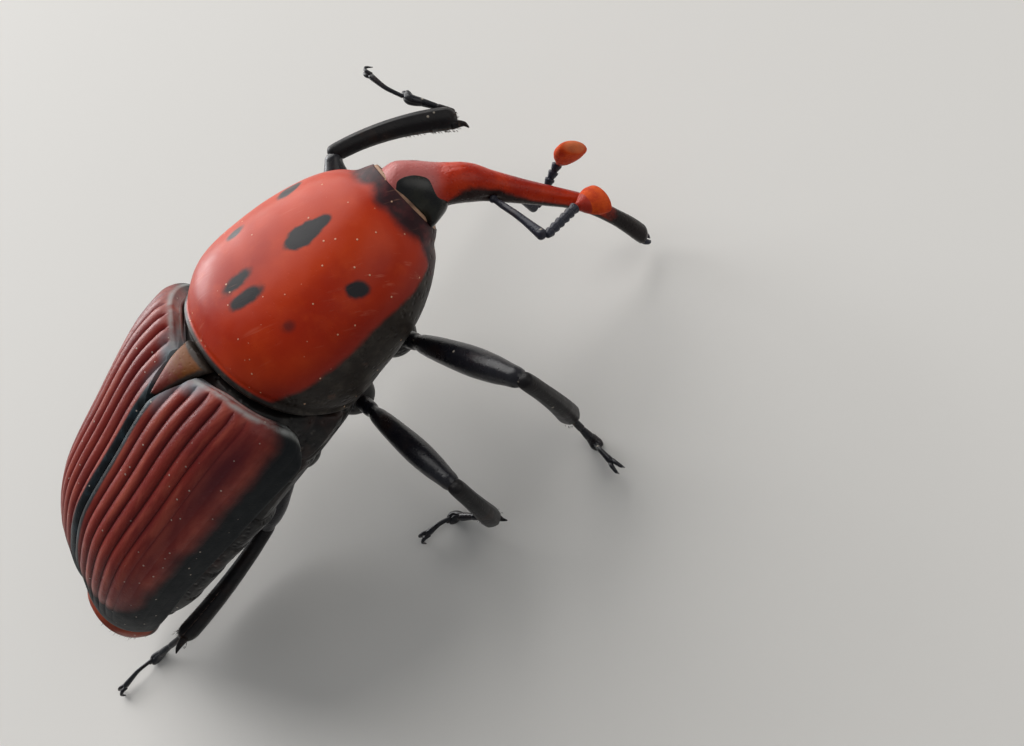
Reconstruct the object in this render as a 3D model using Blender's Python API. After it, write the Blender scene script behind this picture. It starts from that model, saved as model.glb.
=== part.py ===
"""Red palm weevil, a still, life-size model.

Metres, +Z up, the beetle faces -Y and its left side is +X. All sizes below are in millimetres in the
beetle's own frame, whose origin is the middle of the pronotum's rear edge, on the back. An empty turns
that frame a few degrees head up and sets it on the floor, so that the soles of the feet lie at z = 0.
"""
import math

import bmesh
import bpy
import numpy as np
from mathutils import Matrix, Vector

MM = 0.001
GAP = 0.3

# Driving dimensions of the body, in millimetres
PRONOTUM_LENGTH = 9.95
PRONOTUM_WIDTH = 9.12
ELYTRA_LENGTH = 14.5
ELYTRA_WIDTH = 10.72
SHELL_THICKNESS = 0.7
SUTURE_HALF_GAP = 0.15
REAR_MARGIN_CURVE = 0.03
PROTHORAX_REAR_SLANT = 2.3
COLLAR_SLANT = 0.7
PRONOTUM_TURN = 0.02
SCUTELLUM_HALF_WIDTH = 0.85
SCUTELLUM_LENGTH = 2.5
THORAX_END = 4.8
THORAX_WAIST = 0.45
FLANK_INSET = 0.4
WIDEST_LEVEL = 0.45
ELYTRON_MARGIN_ANGLE = -4
HUMERUS_ROUNDING = 1.0
BASE_SET_BACK = 0.45
SUTURE_CORNER = 0.5
OUTER_CORNER = 0.35
FRONT_EDGE_DROP = 0.25
ABDOMEN_END = 14.4
ABDOMEN_END_INSET = 0.5
PYGIDIUM_END = 17.4

# Stance: the floor under the origin, how far the body pitches head up, and the middle of the whole box
BACK_HEIGHT = 11.35
PITCH = math.radians(6.0)
BOX_MIDDLE_X = 0.33
BOX_MIDDLE_Y = 1.63

# Head and rostrum: the head's middle, the tip of the rostrum, and the roll of the head
HEAD_MIDDLE = Vector((-0.3, -10.2, -4.1))
ROSTRUM_TIP = Vector((-5.13, -14.43, -12.01))
HEAD_BACK = Vector((-0.141, -0.835, 0.532))
HEAD_END = 1.6
EYE_OUT = 0.8
SCAPE_ROOT = 2.65

# Elytral ribs and the belly's plates
RIB_COUNT = 9
RIB_DEPTH = 0.2
VENTRITE_COUNT = 5
VENTRITE_STEP = 0.18

# Legs: middle of the coxa, knee, end of the tibia, middle of the lobed segment, end of the claw segment
LEGS = {
    "front_right": [(-1.5, -4.2, -7.12), (-9.2, -8.0, -5.0), (-8.95, -6.95, -10.3),
                    (-10.05, -6.62, -11.8), (-11.5, -6.75, -11.35)],
    "middle_right": [(-1.8, -0.9, -7.2), (-9.5, -2.7, -6.0), (-9.4, -1.2, -10.4),
                     (-7.8, 0.5, -11.05), (-7.55, 1.95, -10.75)],
    "hind_right": [(-1.4, 3.0, -7.4), (-1.7, 7.8, -8.9), (-2.4, 15.2, -8.5),
                   (-1.4, 17.95, -9.25), (-1.35, 20.3, -8.9)],
    "front_left": [(1.5, -4.2, -7.15), (6.2, -8.05, -5.4), (5.1, -12.6, -9.0),
                   (7.3, -11.83, -7.95), (9.4, -11.43, -7.2)],
    "middle_left": [(1.8, -0.9, -7.2), (8.9, -1.4, -6.2), (10.6, 0.6, -9.9),
                    (11.7, 2.6, -10.83), (12.2, 4.6, -10.5)],
    "hind_left": [(1.6, 3.0, -7.5), (8.4, 6.0, -5.9), (9.8, 12.0, -8.9),
                  (10.6, 14.4, -9.6), (11.2, 16.5, -9.25)],
}
COXA_RADIUS = {"front": 1.05, "middle": 1.0, "hind": 0.95}
KNEE_CLEARANCE = 0.9
FEMUR_SIZE = {"front": 1.0, "middle": 0.9, "hind": 1.0}

# Antennae: elbow, end of the funicle and middle of the club, for the right and the left one
ANTENNAE = {
    "right": [(-5.42, -12.28, -5.47), (-4.75, -13.8, -6.75), (-4.75, -14.35, -7.4)],
    "left": [(-1.61, -12.29, -9.18), (-1.25, -14.4, -8.75), (-1.65, -15.0, -8.3)],
}


def smooth(stations, values):
    """A curve through a few named stations that never overshoots them."""
    x, y = np.array(stations, float), np.array(values, float)
    step = np.diff(x)
    slope = np.diff(y) / step
    tangent = np.zeros(len(x))
    tangent[0], tangent[-1] = slope[0], slope[-1]
    for i in range(1, len(x) - 1):
        if slope[i - 1] * slope[i] > 0:
            a = 2 * step[i] + step[i - 1]
            b = step[i] + 2 * step[i - 1]
            tangent[i] = (a + b) / (a / slope[i - 1] + b / slope[i])

    def value(t):
        i = int(np.clip(np.searchsorted(x, t) - 1, 0, len(step) - 1))
        s = np.clip((t - x[i]) / step[i], 0, 1)
        ends = y[i] * (1 + 2 * s) * (1 - s) ** 2 + y[i + 1] * s * s * (3 - 2 * s)
        return float(ends + step[i] * s * (1 - s) * (tangent[i] * (1 - s) - tangent[i + 1] * s))

    return value


def rise(low, high, value):
    """0 below low, 1 above high, and a smooth step between them."""
    s = min(1.0, max(0.0, (value - low) / (high - low)))
    return s * s * (3 - 2 * s)


# Body profiles along the pronotum (0 rear, 1 front) and the elytra (0 base, 1 apex), in millimetres
PRONOTUM_HALF = smooth([0, .15, .3, .5, .7, .85, .93, 1],
                       [PRONOTUM_WIDTH / 2 * part for part in (.94, 1, 1, .96, .84, .665, .505, .405)])
PRONOTUM_TOP = smooth([0, .2, .4, .6, .8, .93, 1], [.06, .64, .15, -.52, -1.30, -2.12, -2.40])
PRONOTUM_BOTTOM = smooth([0, .5, 1], [-6.65, -6.55, -5.9])
ELYTRA_HALF = smooth([0, .06, .3, .6, .8, .92, 1],
                     [ELYTRA_WIDTH / 2 * part for part in (.92, 1, .94, .84, .755, .63, .50)])
ELYTRA_TOP = smooth([0, .15, .4, .6, .8, .92, 1], [.45, .74, .34, -.06, -1.28, -2.65, -3.75])
BELLY = smooth([0, .3, .6, .8, 1], [-6.9, -7.2, -7.35, -7.5, -7.6])


def finish(name, colour, roughness, metallic=0.0):
    material = bpy.data.materials.new(name)
    material.use_nodes = True
    shader = material.node_tree.nodes["Principled BSDF"]
    shader.inputs["Base Color"].default_value = (*colour, 1)
    shader.inputs["Roughness"].default_value = roughness
    shader.inputs["Metallic"].default_value = metallic
    material.diffuse_color = (*colour, 1)
    return material


def set_on_body(part, material):
    """Names, colours, shades and parents a finished part."""
    part.data.materials.clear()
    part.data.materials.append(material)
    part.data.shade_smooth()
    part.data.set_sharp_from_angle(angle=math.radians(40))
    part.parent = BODY_FRAME
    return part


def mesh_part(name, points, faces):
    mesh = bpy.data.meshes.new(name)
    mesh.from_pydata([tuple(MM * c for c in p) for p in points], [], faces)
    shape = bmesh.new()
    shape.from_mesh(mesh)
    bmesh.ops.recalc_face_normals(shape, faces=shape.faces)
    shape.to_mesh(mesh)
    shape.free()
    part = bpy.data.objects.new(name, mesh)
    MODEL.objects.link(part)
    return part


def loft(name, rings):
    """A closed skin over rings of equally many points, with a fan of triangles on each end."""
    rings = np.asarray(rings, float)
    count, around = rings.shape[:2]
    points = list(rings.reshape(-1, 3)) + [rings[0].mean(0), rings[-1].mean(0)]
    faces = []
    for i in range(count - 1):
        for j in range(around):
            k = (j + 1) % around
            faces.append((i * around + j, i * around + k, (i + 1) * around + k, (i + 1) * around + j))
    first, last = count * around, count * around + 1
    for j in range(around):
        k = (j + 1) % around
        faces.append((first, k, j))
        faces.append((last, (count - 1) * around + j, (count - 1) * around + k))
    return mesh_part(name, points, faces)


def plate(name, outer, inner):
    """A closed shell between an outer and an inner grid of the same size."""
    outer, inner = np.asarray(outer, float), np.asarray(inner, float)
    rows, columns = outer.shape[:2]
    points = list(outer.reshape(-1, 3)) + list(inner.reshape(-1, 3))
    under = rows * columns
    faces = []
    for i in range(rows - 1):
        for j in range(columns - 1):
            a, b = i * columns + j, i * columns + j + 1
            c, d = a + columns, b + columns
            faces += [(a, b, d), (a, d, c), (under + a, under + d, under + b), (under + a, under + c, under + d)]
    rim = [j for j in range(columns)] + [i * columns + columns - 1 for i in range(1, rows)]
    rim += [(rows - 1) * columns + j for j in range(columns - 2, -1, -1)]
    rim += [i * columns for i in range(rows - 2, 0, -1)]
    for a, b in zip(rim, rim[1:] + rim[:1]):
        faces.append((a, b, under + b, under + a))
    return mesh_part(name, points, faces)


def superellipse(angle, half, top, middle, bottom, upper_power, lower_power=2.2):
    """One point of a cross-section, at an angle from the +X side, counted towards the back."""
    c, s = math.cos(angle), math.sin(angle)
    power = upper_power if s > 0 else lower_power
    x = half * math.copysign(abs(c) ** (2 / power), c)
    reach = top - middle if s > 0 else middle - bottom
    return x, middle + reach * math.copysign(abs(s) ** (2 / power), s)


def pronotum_rings(grow=0.0, along=14, around=32):
    """Cross-sections of the prothorax; grow widens them and moves the ends outwards."""
    rings = []
    for t in np.linspace(0, 1, along):
        half, top, bottom = PRONOTUM_HALF(t), PRONOTUM_TOP(t), PRONOTUM_BOTTOM(t)
        middle = top - 0.48 * (top - bottom)
        shift = grow * (1 - 2 * t)
        rounder = t ** 3
        powers = (2.3 - 0.3 * rounder, 2.2 - 0.2 * rounder)
        ring = []
        for angle in np.linspace(0, 2 * math.pi, around, endpoint=False):
            x, z = superellipse(angle, half + grow, top + grow, middle, bottom - grow, *powers)
            slant = PROTHORAX_REAR_SLANT * max(0.0, (top - z) / (top - bottom)) ** 2
            rear = (REAR_MARGIN_CURVE * x * x + slant) * (1 - t)
            front = COLLAR_SLANT * t ** 3 * max(0.0, (top - z) / (top - bottom))
            aside = PRONOTUM_TURN * t * PRONOTUM_LENGTH
            ring.append((x + aside, -t * PRONOTUM_LENGTH - rear + front + shift, z))
        rings.append(ring)
    return rings


def trunk_ring(y, inset, bottom, waist=0.0, around=28):
    """A cross-section of the body under the elytra, clear of their inner face."""
    u = max(0.0, y / ELYTRA_LENGTH)
    top = ELYTRA_TOP(u)
    middle = top - WIDEST_LEVEL * (top - BELLY(u))
    ring = []
    for degrees in np.linspace(-90, 270, around, endpoint=False):
        below = np.interp(abs(degrees - 90), [100, 110], [0, 1])
        half = ELYTRA_HALF(u) - waist - inset + below * (SHELL_THICKNESS + GAP - FLANK_INSET)
        ring.append(superellipse(math.radians(degrees), half, top - inset, middle, bottom, 2.6))
    return ring, top


def thorax_rings(grow=0.0):
    """Cross-sections of the middle and hind thorax, with a front face that follows the pronotum's."""
    inset = SHELL_THICKNESS + GAP - grow
    rings = []
    for t in np.linspace(0, 1, 7):
        y = GAP + (THORAX_END - GAP) * t
        ring, top = trunk_ring(y, inset, BELLY(y / ELYTRA_LENGTH) - grow, THORAX_WAIST * (1 - t))
        bottom = BELLY(0)
        section = []
        for x, z in ring:
            slant = PROTHORAX_REAR_SLANT * min(1.0, max(0.0, (top - z) / (top - bottom))) ** 2
            rear = (REAR_MARGIN_CURVE * x * x + slant) * (1 - t)
            section.append((x, y - rear - grow * (1 - 2 * t), z))
        rings.append(section)
    return rings


def abdomen_rings():
    """Cross-sections of the abdomen, each plate of the belly a step lower than the next one."""
    start, rings = THORAX_END + GAP, []
    length = (ABDOMEN_END - start) / VENTRITE_COUNT
    for plate_number in range(VENTRITE_COUNT):
        for part, drop in ((0.0, 0.0), (0.12, VENTRITE_STEP), (0.93, VENTRITE_STEP), (0.97, 0.0)):
            y = start + (plate_number + part) * length
            inset = SHELL_THICKNESS + GAP + ABDOMEN_END_INSET * rise(0.7 * ABDOMEN_END, ABDOMEN_END, y)
            ring, _ = trunk_ring(y, inset, BELLY(y / ELYTRA_LENGTH) - drop)
            rings.append([(x, y, z) for x, z in ring])
    ring, _ = trunk_ring(ABDOMEN_END, SHELL_THICKNESS + GAP + ABDOMEN_END_INSET, BELLY(1))
    rings.append([(x, ABDOMEN_END, z) for x, z in ring])
    return rings


def pygidium_rings():
    """The bare tail plate behind the elytra, narrowing down to its tip at the belly's level."""
    half = smooth([14.7, 15.4, 16.0, 16.7, 17.2, PYGIDIUM_END], [2.35, 2.0, 1.35, .8, .45, .25])
    top = smooth([14.7, 15.0, 15.4, 16.0, 16.7, 17.2, PYGIDIUM_END], [-4.75, -4.5, -4.5, -5.5, -6.5, -7.2, -7.9])
    bottom = smooth([14.7, 16.0, PYGIDIUM_END], [-7.6, -8.0, -8.35])
    rings = []
    for y in np.linspace(ABDOMEN_END + GAP, PYGIDIUM_END, 9):
        middle = (top(y) + bottom(y)) / 2
        ring = []
        for angle in np.linspace(0, 2 * math.pi, 20, endpoint=False):
            x, z = superellipse(angle, half(y), top(y), middle, bottom(y), 2.2)
            ring.append((x, y, z))
        rings.append(ring)
    return rings


def elytron_grid(side, inset, ribs):
    """One wing case, from the suture round to its side margin, on rows along the body."""
    rows, columns = 16, 2 * RIB_COUNT + 4
    dense = np.radians(np.linspace(90, ELYTRON_MARGIN_ANGLE, 200))
    grid = []
    for u in np.linspace(0, 1, rows):
        half, top = ELYTRA_HALF(u) - inset, ELYTRA_TOP(u) - inset
        middle = ELYTRA_TOP(u) - WIDEST_LEVEL * (ELYTRA_TOP(u) - BELLY(u))
        arc = np.array([superellipse(a, half, top, middle, BELLY(u), 2.6) for a in dense])
        y = u * (ELYTRA_LENGTH - GAP) + GAP
        room = max(0.0, 1 - (y - GAP) / (SCUTELLUM_LENGTH + 2 * GAP))
        start = SUTURE_HALF_GAP + (SCUTELLUM_HALF_WIDTH + 1.6 * GAP - SUTURE_HALF_GAP) * room
        run = np.concatenate([[0], np.cumsum(np.linalg.norm(np.diff(arc, axis=0), axis=1))])
        first = np.interp(start, arc[:, 0], run)
        row = []
        for j, s in enumerate(np.linspace(first, run[-1], columns)):
            x, z = np.interp(s, run, arc[:, 0]), np.interp(s, run, arc[:, 1])
            groove = RIB_DEPTH if ribs and j % 2 == 1 and 0 < j < columns - 2 and 0.03 < u < 0.93 else 0.0
            if ribs and u == 0:
                groove = FRONT_EDGE_DROP
            shrink = 1 - groove / math.hypot(x, z - middle)
            x, z = x * shrink, middle + (z - middle) * shrink
            share = j / (columns - 1)
            front = REAR_MARGIN_CURVE * x * x * (1 - u) ** 3
            front -= HUMERUS_ROUNDING * max(0.0, (share - 0.75) / 0.25) ** 2 * (1 - u) ** 4
            front -= BASE_SET_BACK * (1 - rise(0.6, 2.6, x)) * (1 - u) ** 4
            front += rise(0.85, 1.0, u) * (SUTURE_CORNER * (1 - rise(0.0, 0.2, share))
                                           + OUTER_CORNER * rise(0.3, 1.0, share))
            row.append((side * x, y - front, z))
        grid.append(row)
    return grid


def scutellum_rings():
    """The small shield between the elytra's bases, a tongue that narrows to the rear."""
    rings = []
    for t in np.linspace(0, 1, 8):
        y = GAP + SCUTELLUM_LENGTH * t * 0.9
        half = SCUTELLUM_HALF_WIDTH * (1 - t) + 0.15 * t
        top = ELYTRA_TOP(y / ELYTRA_LENGTH) - FRONT_EDGE_DROP * max(0.0, 1 - t / 0.45) ** 2
        ring = []
        for angle in np.linspace(0, 2 * math.pi, 16, endpoint=False):
            x, z = superellipse(angle, half, top, top - 0.22, top - 0.45, 2.8, 2.8)
            ring.append((x, y, z))
        rings.append(ring)
    return rings


def frames_along(path, up):
    """Two directions across a path at each of its points, the second as near to up as it can be."""
    path = [Vector(p) for p in path]
    frames = []
    for i, point in enumerate(path):
        ahead = path[min(i + 1, len(path) - 1)] - path[max(i - 1, 0)]
        ahead.normalize()
        across = ahead.cross(up).normalized()
        frames.append((point, across, across.cross(ahead).normalized()))
    return frames


def limb(name, path, widths, depths, up, around=12):
    """A closed limb along a path, with its half width and half depth at each point."""
    rings = []
    for (point, across, raised), width, depth in zip(frames_along(path, up), widths, depths):
        ring = []
        for angle in np.linspace(0, 2 * math.pi, around, endpoint=False):
            ring.append(point + across * width * math.cos(angle) + raised * depth * math.sin(angle))
        rings.append(ring)
    return loft(name, rings)


def ball(name, middle, axes, segments=14, rings=8):
    """A closed ellipsoid; axes are its three half lengths as vectors in millimetres."""
    shape = bmesh.new()
    bmesh.ops.create_uvsphere(shape, u_segments=segments, v_segments=rings, radius=1)
    turn = Matrix([[MM * axis[row] for axis in axes] for row in range(3)]).to_4x4()
    turn.translation = Vector(middle) * MM
    bmesh.ops.transform(shape, matrix=turn, verts=shape.verts)
    bmesh.ops.recalc_face_normals(shape, faces=shape.faces)
    mesh = bpy.data.meshes.new(name)
    shape.to_mesh(mesh)
    shape.free()
    part = bpy.data.objects.new(name, mesh)
    MODEL.objects.link(part)
    return part


def apply_modifiers(part):
    """Replaces a part's mesh by its evaluated one, keeping only its largest closed surface."""
    bpy.context.view_layer.update()
    evaluated = part.evaluated_get(bpy.context.evaluated_depsgraph_get())
    mesh = bpy.data.meshes.new_from_object(evaluated)
    part.modifiers.clear()
    part.data = mesh
    shape = bmesh.new()
    shape.from_mesh(mesh)
    bmesh.ops.remove_doubles(shape, verts=shape.verts, dist=1e-7)
    pieces, seen = [], set()
    for seed in shape.verts:
        if seed in seen:
            continue
        piece, edge = {seed}, [seed]
        while edge:
            vertex = edge.pop()
            for link in vertex.link_edges:
                other = link.other_vert(vertex)
                if other not in piece:
                    piece.add(other)
                    edge.append(other)
        seen |= piece
        pieces.append(piece)
    pieces.sort(key=len)
    for piece in pieces[:-1]:
        bmesh.ops.delete(shape, geom=list(piece), context="VERTS")
    shape.to_mesh(mesh)
    shape.free()
    return part


def fuse(name, pieces):
    """Joins closed pieces into one closed body with one Boolean union."""
    base, others = pieces[0], pieces[1:]
    base.name = name
    collection = bpy.data.collections.new(name + " pieces")
    for piece in others:
        collection.objects.link(piece)
    union = base.modifiers.new("union", "BOOLEAN")
    union.operation = "UNION"
    union.operand_type = "COLLECTION"
    union.collection = collection
    union.solver = "EXACT"
    apply_modifiers(base)
    for piece in others:
        bpy.data.objects.remove(piece)
    bpy.data.collections.remove(collection)
    return base


def cut(part, cutters):
    """Cuts a part clear of the cutters."""
    for cutter in cutters:
        difference = part.modifiers.new("clear of " + cutter.name, "BOOLEAN")
        difference.operation = "DIFFERENCE"
        difference.object = cutter
        difference.solver = "EXACT"
    return apply_modifiers(part)


def as_cutter(part):
    """Keeps a shape as a guide for cuts only."""
    MODEL.objects.unlink(part)
    CUTTERS.objects.link(part)
    part.hide_render = True
    part.display_type = "WIRE"
    return part


def head_point(along, up, out):
    """A place in millimetres, from the head's middle along the rostrum, towards its back and its right."""
    return HEAD_MIDDLE + HEAD_AHEAD * along + HEAD_UP * up + HEAD_RIGHT * out


def rostrum_rise(along):
    """How far the curved rostrum lies above the straight line from the head's middle to its tip."""
    stations = [-2, -0.3, .3, .9, 1.3, 1.8, 2.5, 3.3, 4.2, 5.2, 6.2, 7.0, 8.1, 9.0, HEAD_TO_TIP]
    heights = [0, 0, .1, .6, .8, .93, 1.0, 1.04, 1.09, 1.15, 1.2, 1.12, .85, .55, .05]
    return smooth(stations, heights)(along)


def make_head():
    """The round head with its sockets for the eyes, ending in a flat face for the rostrum."""
    along = [-1.7, -1.45, -0.9, -0.2, 0.5, 1.0, 1.35, HEAD_END]
    radius = [0.33, 0.78, 1.06, 1.2, 1.12, 0.93, 0.86, 0.82]
    path = [head_point(a, rostrum_rise(a), 0) for a in along]
    head = limb("head", path, radius, [r * 0.95 for r in radius], HEAD_UP, 20)
    sockets = []
    for side in (-1, 1):
        grown = ball("eye_socket", eye_middle(side), eye_axes(GAP), 16, 10)
        sockets.append(as_cutter(grown))
    cut(head, sockets + [NECK_CUTTER])
    set_on_body(head, HEAD_RED)
    for name, side in (("right", 1), ("left", -1)):
        eye = ball("eye_" + name, eye_middle(side), eye_axes(0), 16, 10)
        cut(eye, [NECK_CUTTER])
        set_on_body(eye, EYE_BLACK)


def eye_middle(side):
    """The large eyes sit on the sides of the head, wide apart above and closer together below."""
    return head_point(0.05, -0.05, EYE_OUT * side)


def eye_axes(grow):
    return (HEAD_AHEAD * (0.9 + grow), HEAD_UP * (1.1 + grow), HEAD_RIGHT * (0.5 + grow))


def make_rostrum():
    """The long curved snout, thick at its root and slightly widened at the mouth."""
    stations = np.linspace(HEAD_END + 1.4 * GAP, HEAD_TO_TIP, 14)
    radius = smooth([1.9, 2.5, 3.3, 4.2, 5.2, 6.2, 9, 9.8, HEAD_TO_TIP],
                    [.78, .65, .57, .49, .425, .37, .38, .4, .3])
    path = [head_point(a, rostrum_rise(a), 0) for a in stations]
    sizes = [radius(a) for a in stations]
    rostrum = limb("rostrum", path, sizes, [r * 0.95 for r in sizes], HEAD_UP, 14)
    set_on_body(rostrum, ROSTRUM_RED)


def make_antenna(name, side):
    """Scape from the rostrum's side to the elbow, a beaded funicle and a hatchet-shaped club."""
    elbow, funicle_end, club = (Vector(p) for p in ANTENNAE[name])
    root = head_point(SCAPE_ROOT, rostrum_rise(SCAPE_ROOT) - 0.1, side * 0.35)
    ahead = (elbow - root).normalized()
    start = root + ahead * 1.15
    path = [start.lerp(elbow, t) for t in (0, 0.15, 0.5, 0.85, 1)]
    scape = limb("antenna_scape_" + name, path, [.25, .27, .27, .34, .3], [.25, .27, .27, .34, .3], HEAD_UP, 10)
    set_on_body(scape, ANTENNA_BLACK)
    ahead = (funicle_end - elbow).normalized()
    start = elbow + ahead * (0.4 + GAP)
    beads = 6
    stations = np.linspace(0, 1, beads * 3 + 1)
    sizes = [0.3 if i % 3 else 0.25 for i in range(len(stations))]
    path = [start.lerp(funicle_end, t) for t in stations]
    funicle = limb("antenna_funicle_" + name, path, sizes, sizes, HEAD_UP, 8)
    set_on_body(funicle, ANTENNA_BLACK)
    ahead = (club - funicle_end).normalized()
    start = funicle_end + ahead * (GAP + 0.15)
    path = [start + ahead * a for a in (0, 0.25, 0.6, 0.9, 1.15, 1.3)]
    club_part = limb("antenna_club_" + name, path, [.28, .5, .72, .78, .6, .3], [.28, .32, .38, .38, .3, .2],
                     HEAD_UP, 14)
    set_on_body(club_part, CLUB_ORANGE)


def bent(a, b, bow, count):
    """Points from a to b on a shallow arc that bows by the given vector."""
    return [a.lerp(b, t) + bow * (4 * t * (1 - t)) for t in np.linspace(0, 1, count)]


def make_leg(name):
    """Coxa in the body's underside, clubbed femur, hooked tibia, and tarsus with a lobed pad and claws."""
    pair, side = name.split("_")
    coxa, knee, ankle, pad, toe = (Vector(p) for p in LEGS[name])
    radius = COXA_RADIUS[pair]
    ball_part = ball("coxa_" + name, coxa, [Vector((radius, 0, 0)), Vector((0, radius, 0)),
                                            Vector((0, 0, radius))], 16, 10)
    cut(ball_part, [NECK_CUTTER, TRUNK_CUTTER])
    set_on_body(ball_part, LEG_BLACK)

    ahead = (knee - coxa).normalized()
    start = coxa + ahead * (radius + GAP)
    hinge = ahead.cross(ankle - knee).normalized()
    up = hinge.cross(ahead)
    outward = (up if up.z > 0 else -up)
    path = bent(start, knee, outward * 0.15, 9)
    size = smooth([0, .15, .4, .7, .88, 1], [.38, .40, .51, .62, .56, .44])
    sizes = [size(t) * FEMUR_SIZE[pair] for t in np.linspace(0, 1, 9)]
    femur = limb("femur_" + name, path, [s * 0.85 for s in sizes], sizes, outward, 12)
    set_on_body(femur, LEG_BLACK)

    down = (ankle - knee).normalized()
    start = knee + down * KNEE_CLEARANCE
    back = hinge.cross(down)
    if back.dot(coxa - knee) > 0:
        back = -back
    path = bent(start, ankle, back * 0.2, 9)
    size = smooth([0, .12, .4, .8, 1], [.36, .40, .46, .56, .56])
    sizes = [size(t) for t in np.linspace(0, 1, 9)]
    tibia = limb("tibia_" + name, path, [s * 0.76 for s in sizes], sizes, back, 12)
    outer = pad - ankle
    outer = -(outer - down * outer.dot(down)).normalized()
    hook_root = ankle - down * 0.35 + outer * 0.25
    hook_path = [hook_root, hook_root + down * 0.45 + outer * 0.1, hook_root + down * 0.7 + outer * 0.25,
                 hook_root + down * 0.8 + outer * 0.5]
    hook = limb("hook", hook_path, [.3, .26, .18, .06], [.3, .26, .18, .06], back, 8)
    fuse("tibia_" + name, [tibia, hook])
    set_on_body(tibia, LEG_BLACK)
    make_tarsus(name, ankle, down, pad, toe, name != "front_left")


def make_tarsus(name, ankle, down, pad, toe, on_floor):
    """Two short segments, the broad two-lobed third one, the long fifth one and a pair of claws."""
    ahead = (pad - ankle).normalized()
    aside = (ahead - down * ahead.dot(down)).normalized()
    start = ankle + down * (0.28 + GAP) + aside * 0.35
    ahead = (pad - start).normalized()
    floor_up = Vector((0, -math.sin(PITCH), math.cos(PITCH)))
    up = floor_up if on_floor else Vector((0.3, 0.6, 0.74)).normalized()
    middle = start.lerp(pad, 0.42)
    late = start.lerp(pad, 0.8)
    pieces = []
    for a, b, wide in ((start, middle, 0.34), (middle - ahead * 0.12, late, 0.38)):
        path = [a, a.lerp(b, 0.6), b]
        pieces.append(limb("segment", path, [.25, wide * 0.85, wide], [.25, .28, .32], up, 8))
    forward = (toe - pad).normalized()
    across = forward.cross(up).normalized()
    flat_forward = up.cross(across).normalized()
    for half in (-1, 1):
        middle = pad + across * 0.26 * half
        axes = [flat_forward * 0.6 + across * 0.1 * half, across * 0.33, up * 0.36]
        pieces.append(ball("lobe", middle, axes, 10, 6))
    fifth = [pad - forward * 0.35 + up * 0.1, pad.lerp(toe, 0.35) + up * 0.12, pad.lerp(toe, 0.75) + up * 0.08, toe]
    pieces.append(limb("fifth", fifth, [.25, .25, .26, .28], [.25, .25, .25, .26], up, 8))
    for half in (-1, 1):
        root = toe - forward * 0.12 + across * 0.14 * half
        claw = [root, root + forward * 0.35 + across * 0.16 * half + up * 0.02,
                root + forward * 0.62 + across * 0.26 * half - up * 0.16,
                root + forward * 0.74 + across * 0.3 * half - up * 0.42]
        pieces.append(limb("claw", claw, [.2, .18, .12, .04], [.2, .18, .12, .04], up, 6))
    tarsus = fuse("tarsus_" + name, pieces)
    set_on_body(tarsus, LEG_BLACK)
    if on_floor:
        cut(tarsus, [FLOOR_CUTTER])


for old in list(bpy.data.objects):
    bpy.data.objects.remove(old)

MODEL = bpy.data.collections.new("Red palm weevil")
CUTTERS = bpy.data.collections.new("Cutters")
for collection in (MODEL, CUTTERS):
    bpy.context.scene.collection.children.link(collection)

BODY_FRAME = bpy.data.objects.new("weevil_frame", None)
BODY_FRAME.rotation_euler = (-PITCH, 0, 0)
BODY_FRAME.location = (-BOX_MIDDLE_X * MM, -BOX_MIDDLE_Y * MM, BACK_HEIGHT * math.cos(PITCH) * MM)
MODEL.objects.link(BODY_FRAME)

HEAD_AHEAD = (ROSTRUM_TIP - HEAD_MIDDLE).normalized()
HEAD_RIGHT = HEAD_AHEAD.cross(HEAD_BACK).normalized()
HEAD_UP = HEAD_RIGHT.cross(HEAD_AHEAD).normalized()
HEAD_TO_TIP = (ROSTRUM_TIP - HEAD_MIDDLE).length

PRONOTUM_RED = finish("pronotum red", (0.55, 0.055, 0.012), 0.3)
ELYTRA_WINE = finish("elytra wine", (0.16, 0.012, 0.01), 0.35)
HEAD_RED = finish("head red", (0.4, 0.04, 0.03), 0.35)
ROSTRUM_RED = finish("rostrum red", (0.42, 0.03, 0.01), 0.3)
EYE_BLACK = finish("eye black", (0.012, 0.012, 0.012), 0.25)
BODY_BLACK = finish("body black", (0.014, 0.012, 0.013), 0.4)
TAIL_BROWN = finish("tail red brown", (0.2, 0.03, 0.012), 0.4)
LEG_BLACK = finish("leg black", (0.012, 0.011, 0.013), 0.3)
ANTENNA_BLACK = finish("antenna black", (0.016, 0.014, 0.015), 0.4)
CLUB_ORANGE = finish("club orange", (0.6, 0.09, 0.012), 0.6)
SHIELD_BROWN = finish("shield brown", (0.2, 0.03, 0.015), 0.45)

NECK_CUTTER = as_cutter(loft("prothorax_clearance", pronotum_rings(GAP)))
TRUNK_CUTTER = as_cutter(loft("thorax_clearance", thorax_rings(GAP)))
FLOOR_BLOCK = bmesh.new()
bmesh.ops.create_cube(FLOOR_BLOCK, size=0.08, matrix=Matrix.Translation((0, 0, -0.04)))
FLOOR_MESH = bpy.data.meshes.new("floor_block")
FLOOR_BLOCK.to_mesh(FLOOR_MESH)
FLOOR_BLOCK.free()
FLOOR_CUTTER = bpy.data.objects.new("floor_block", FLOOR_MESH)
MODEL.objects.link(FLOOR_CUTTER)
as_cutter(FLOOR_CUTTER)

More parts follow.
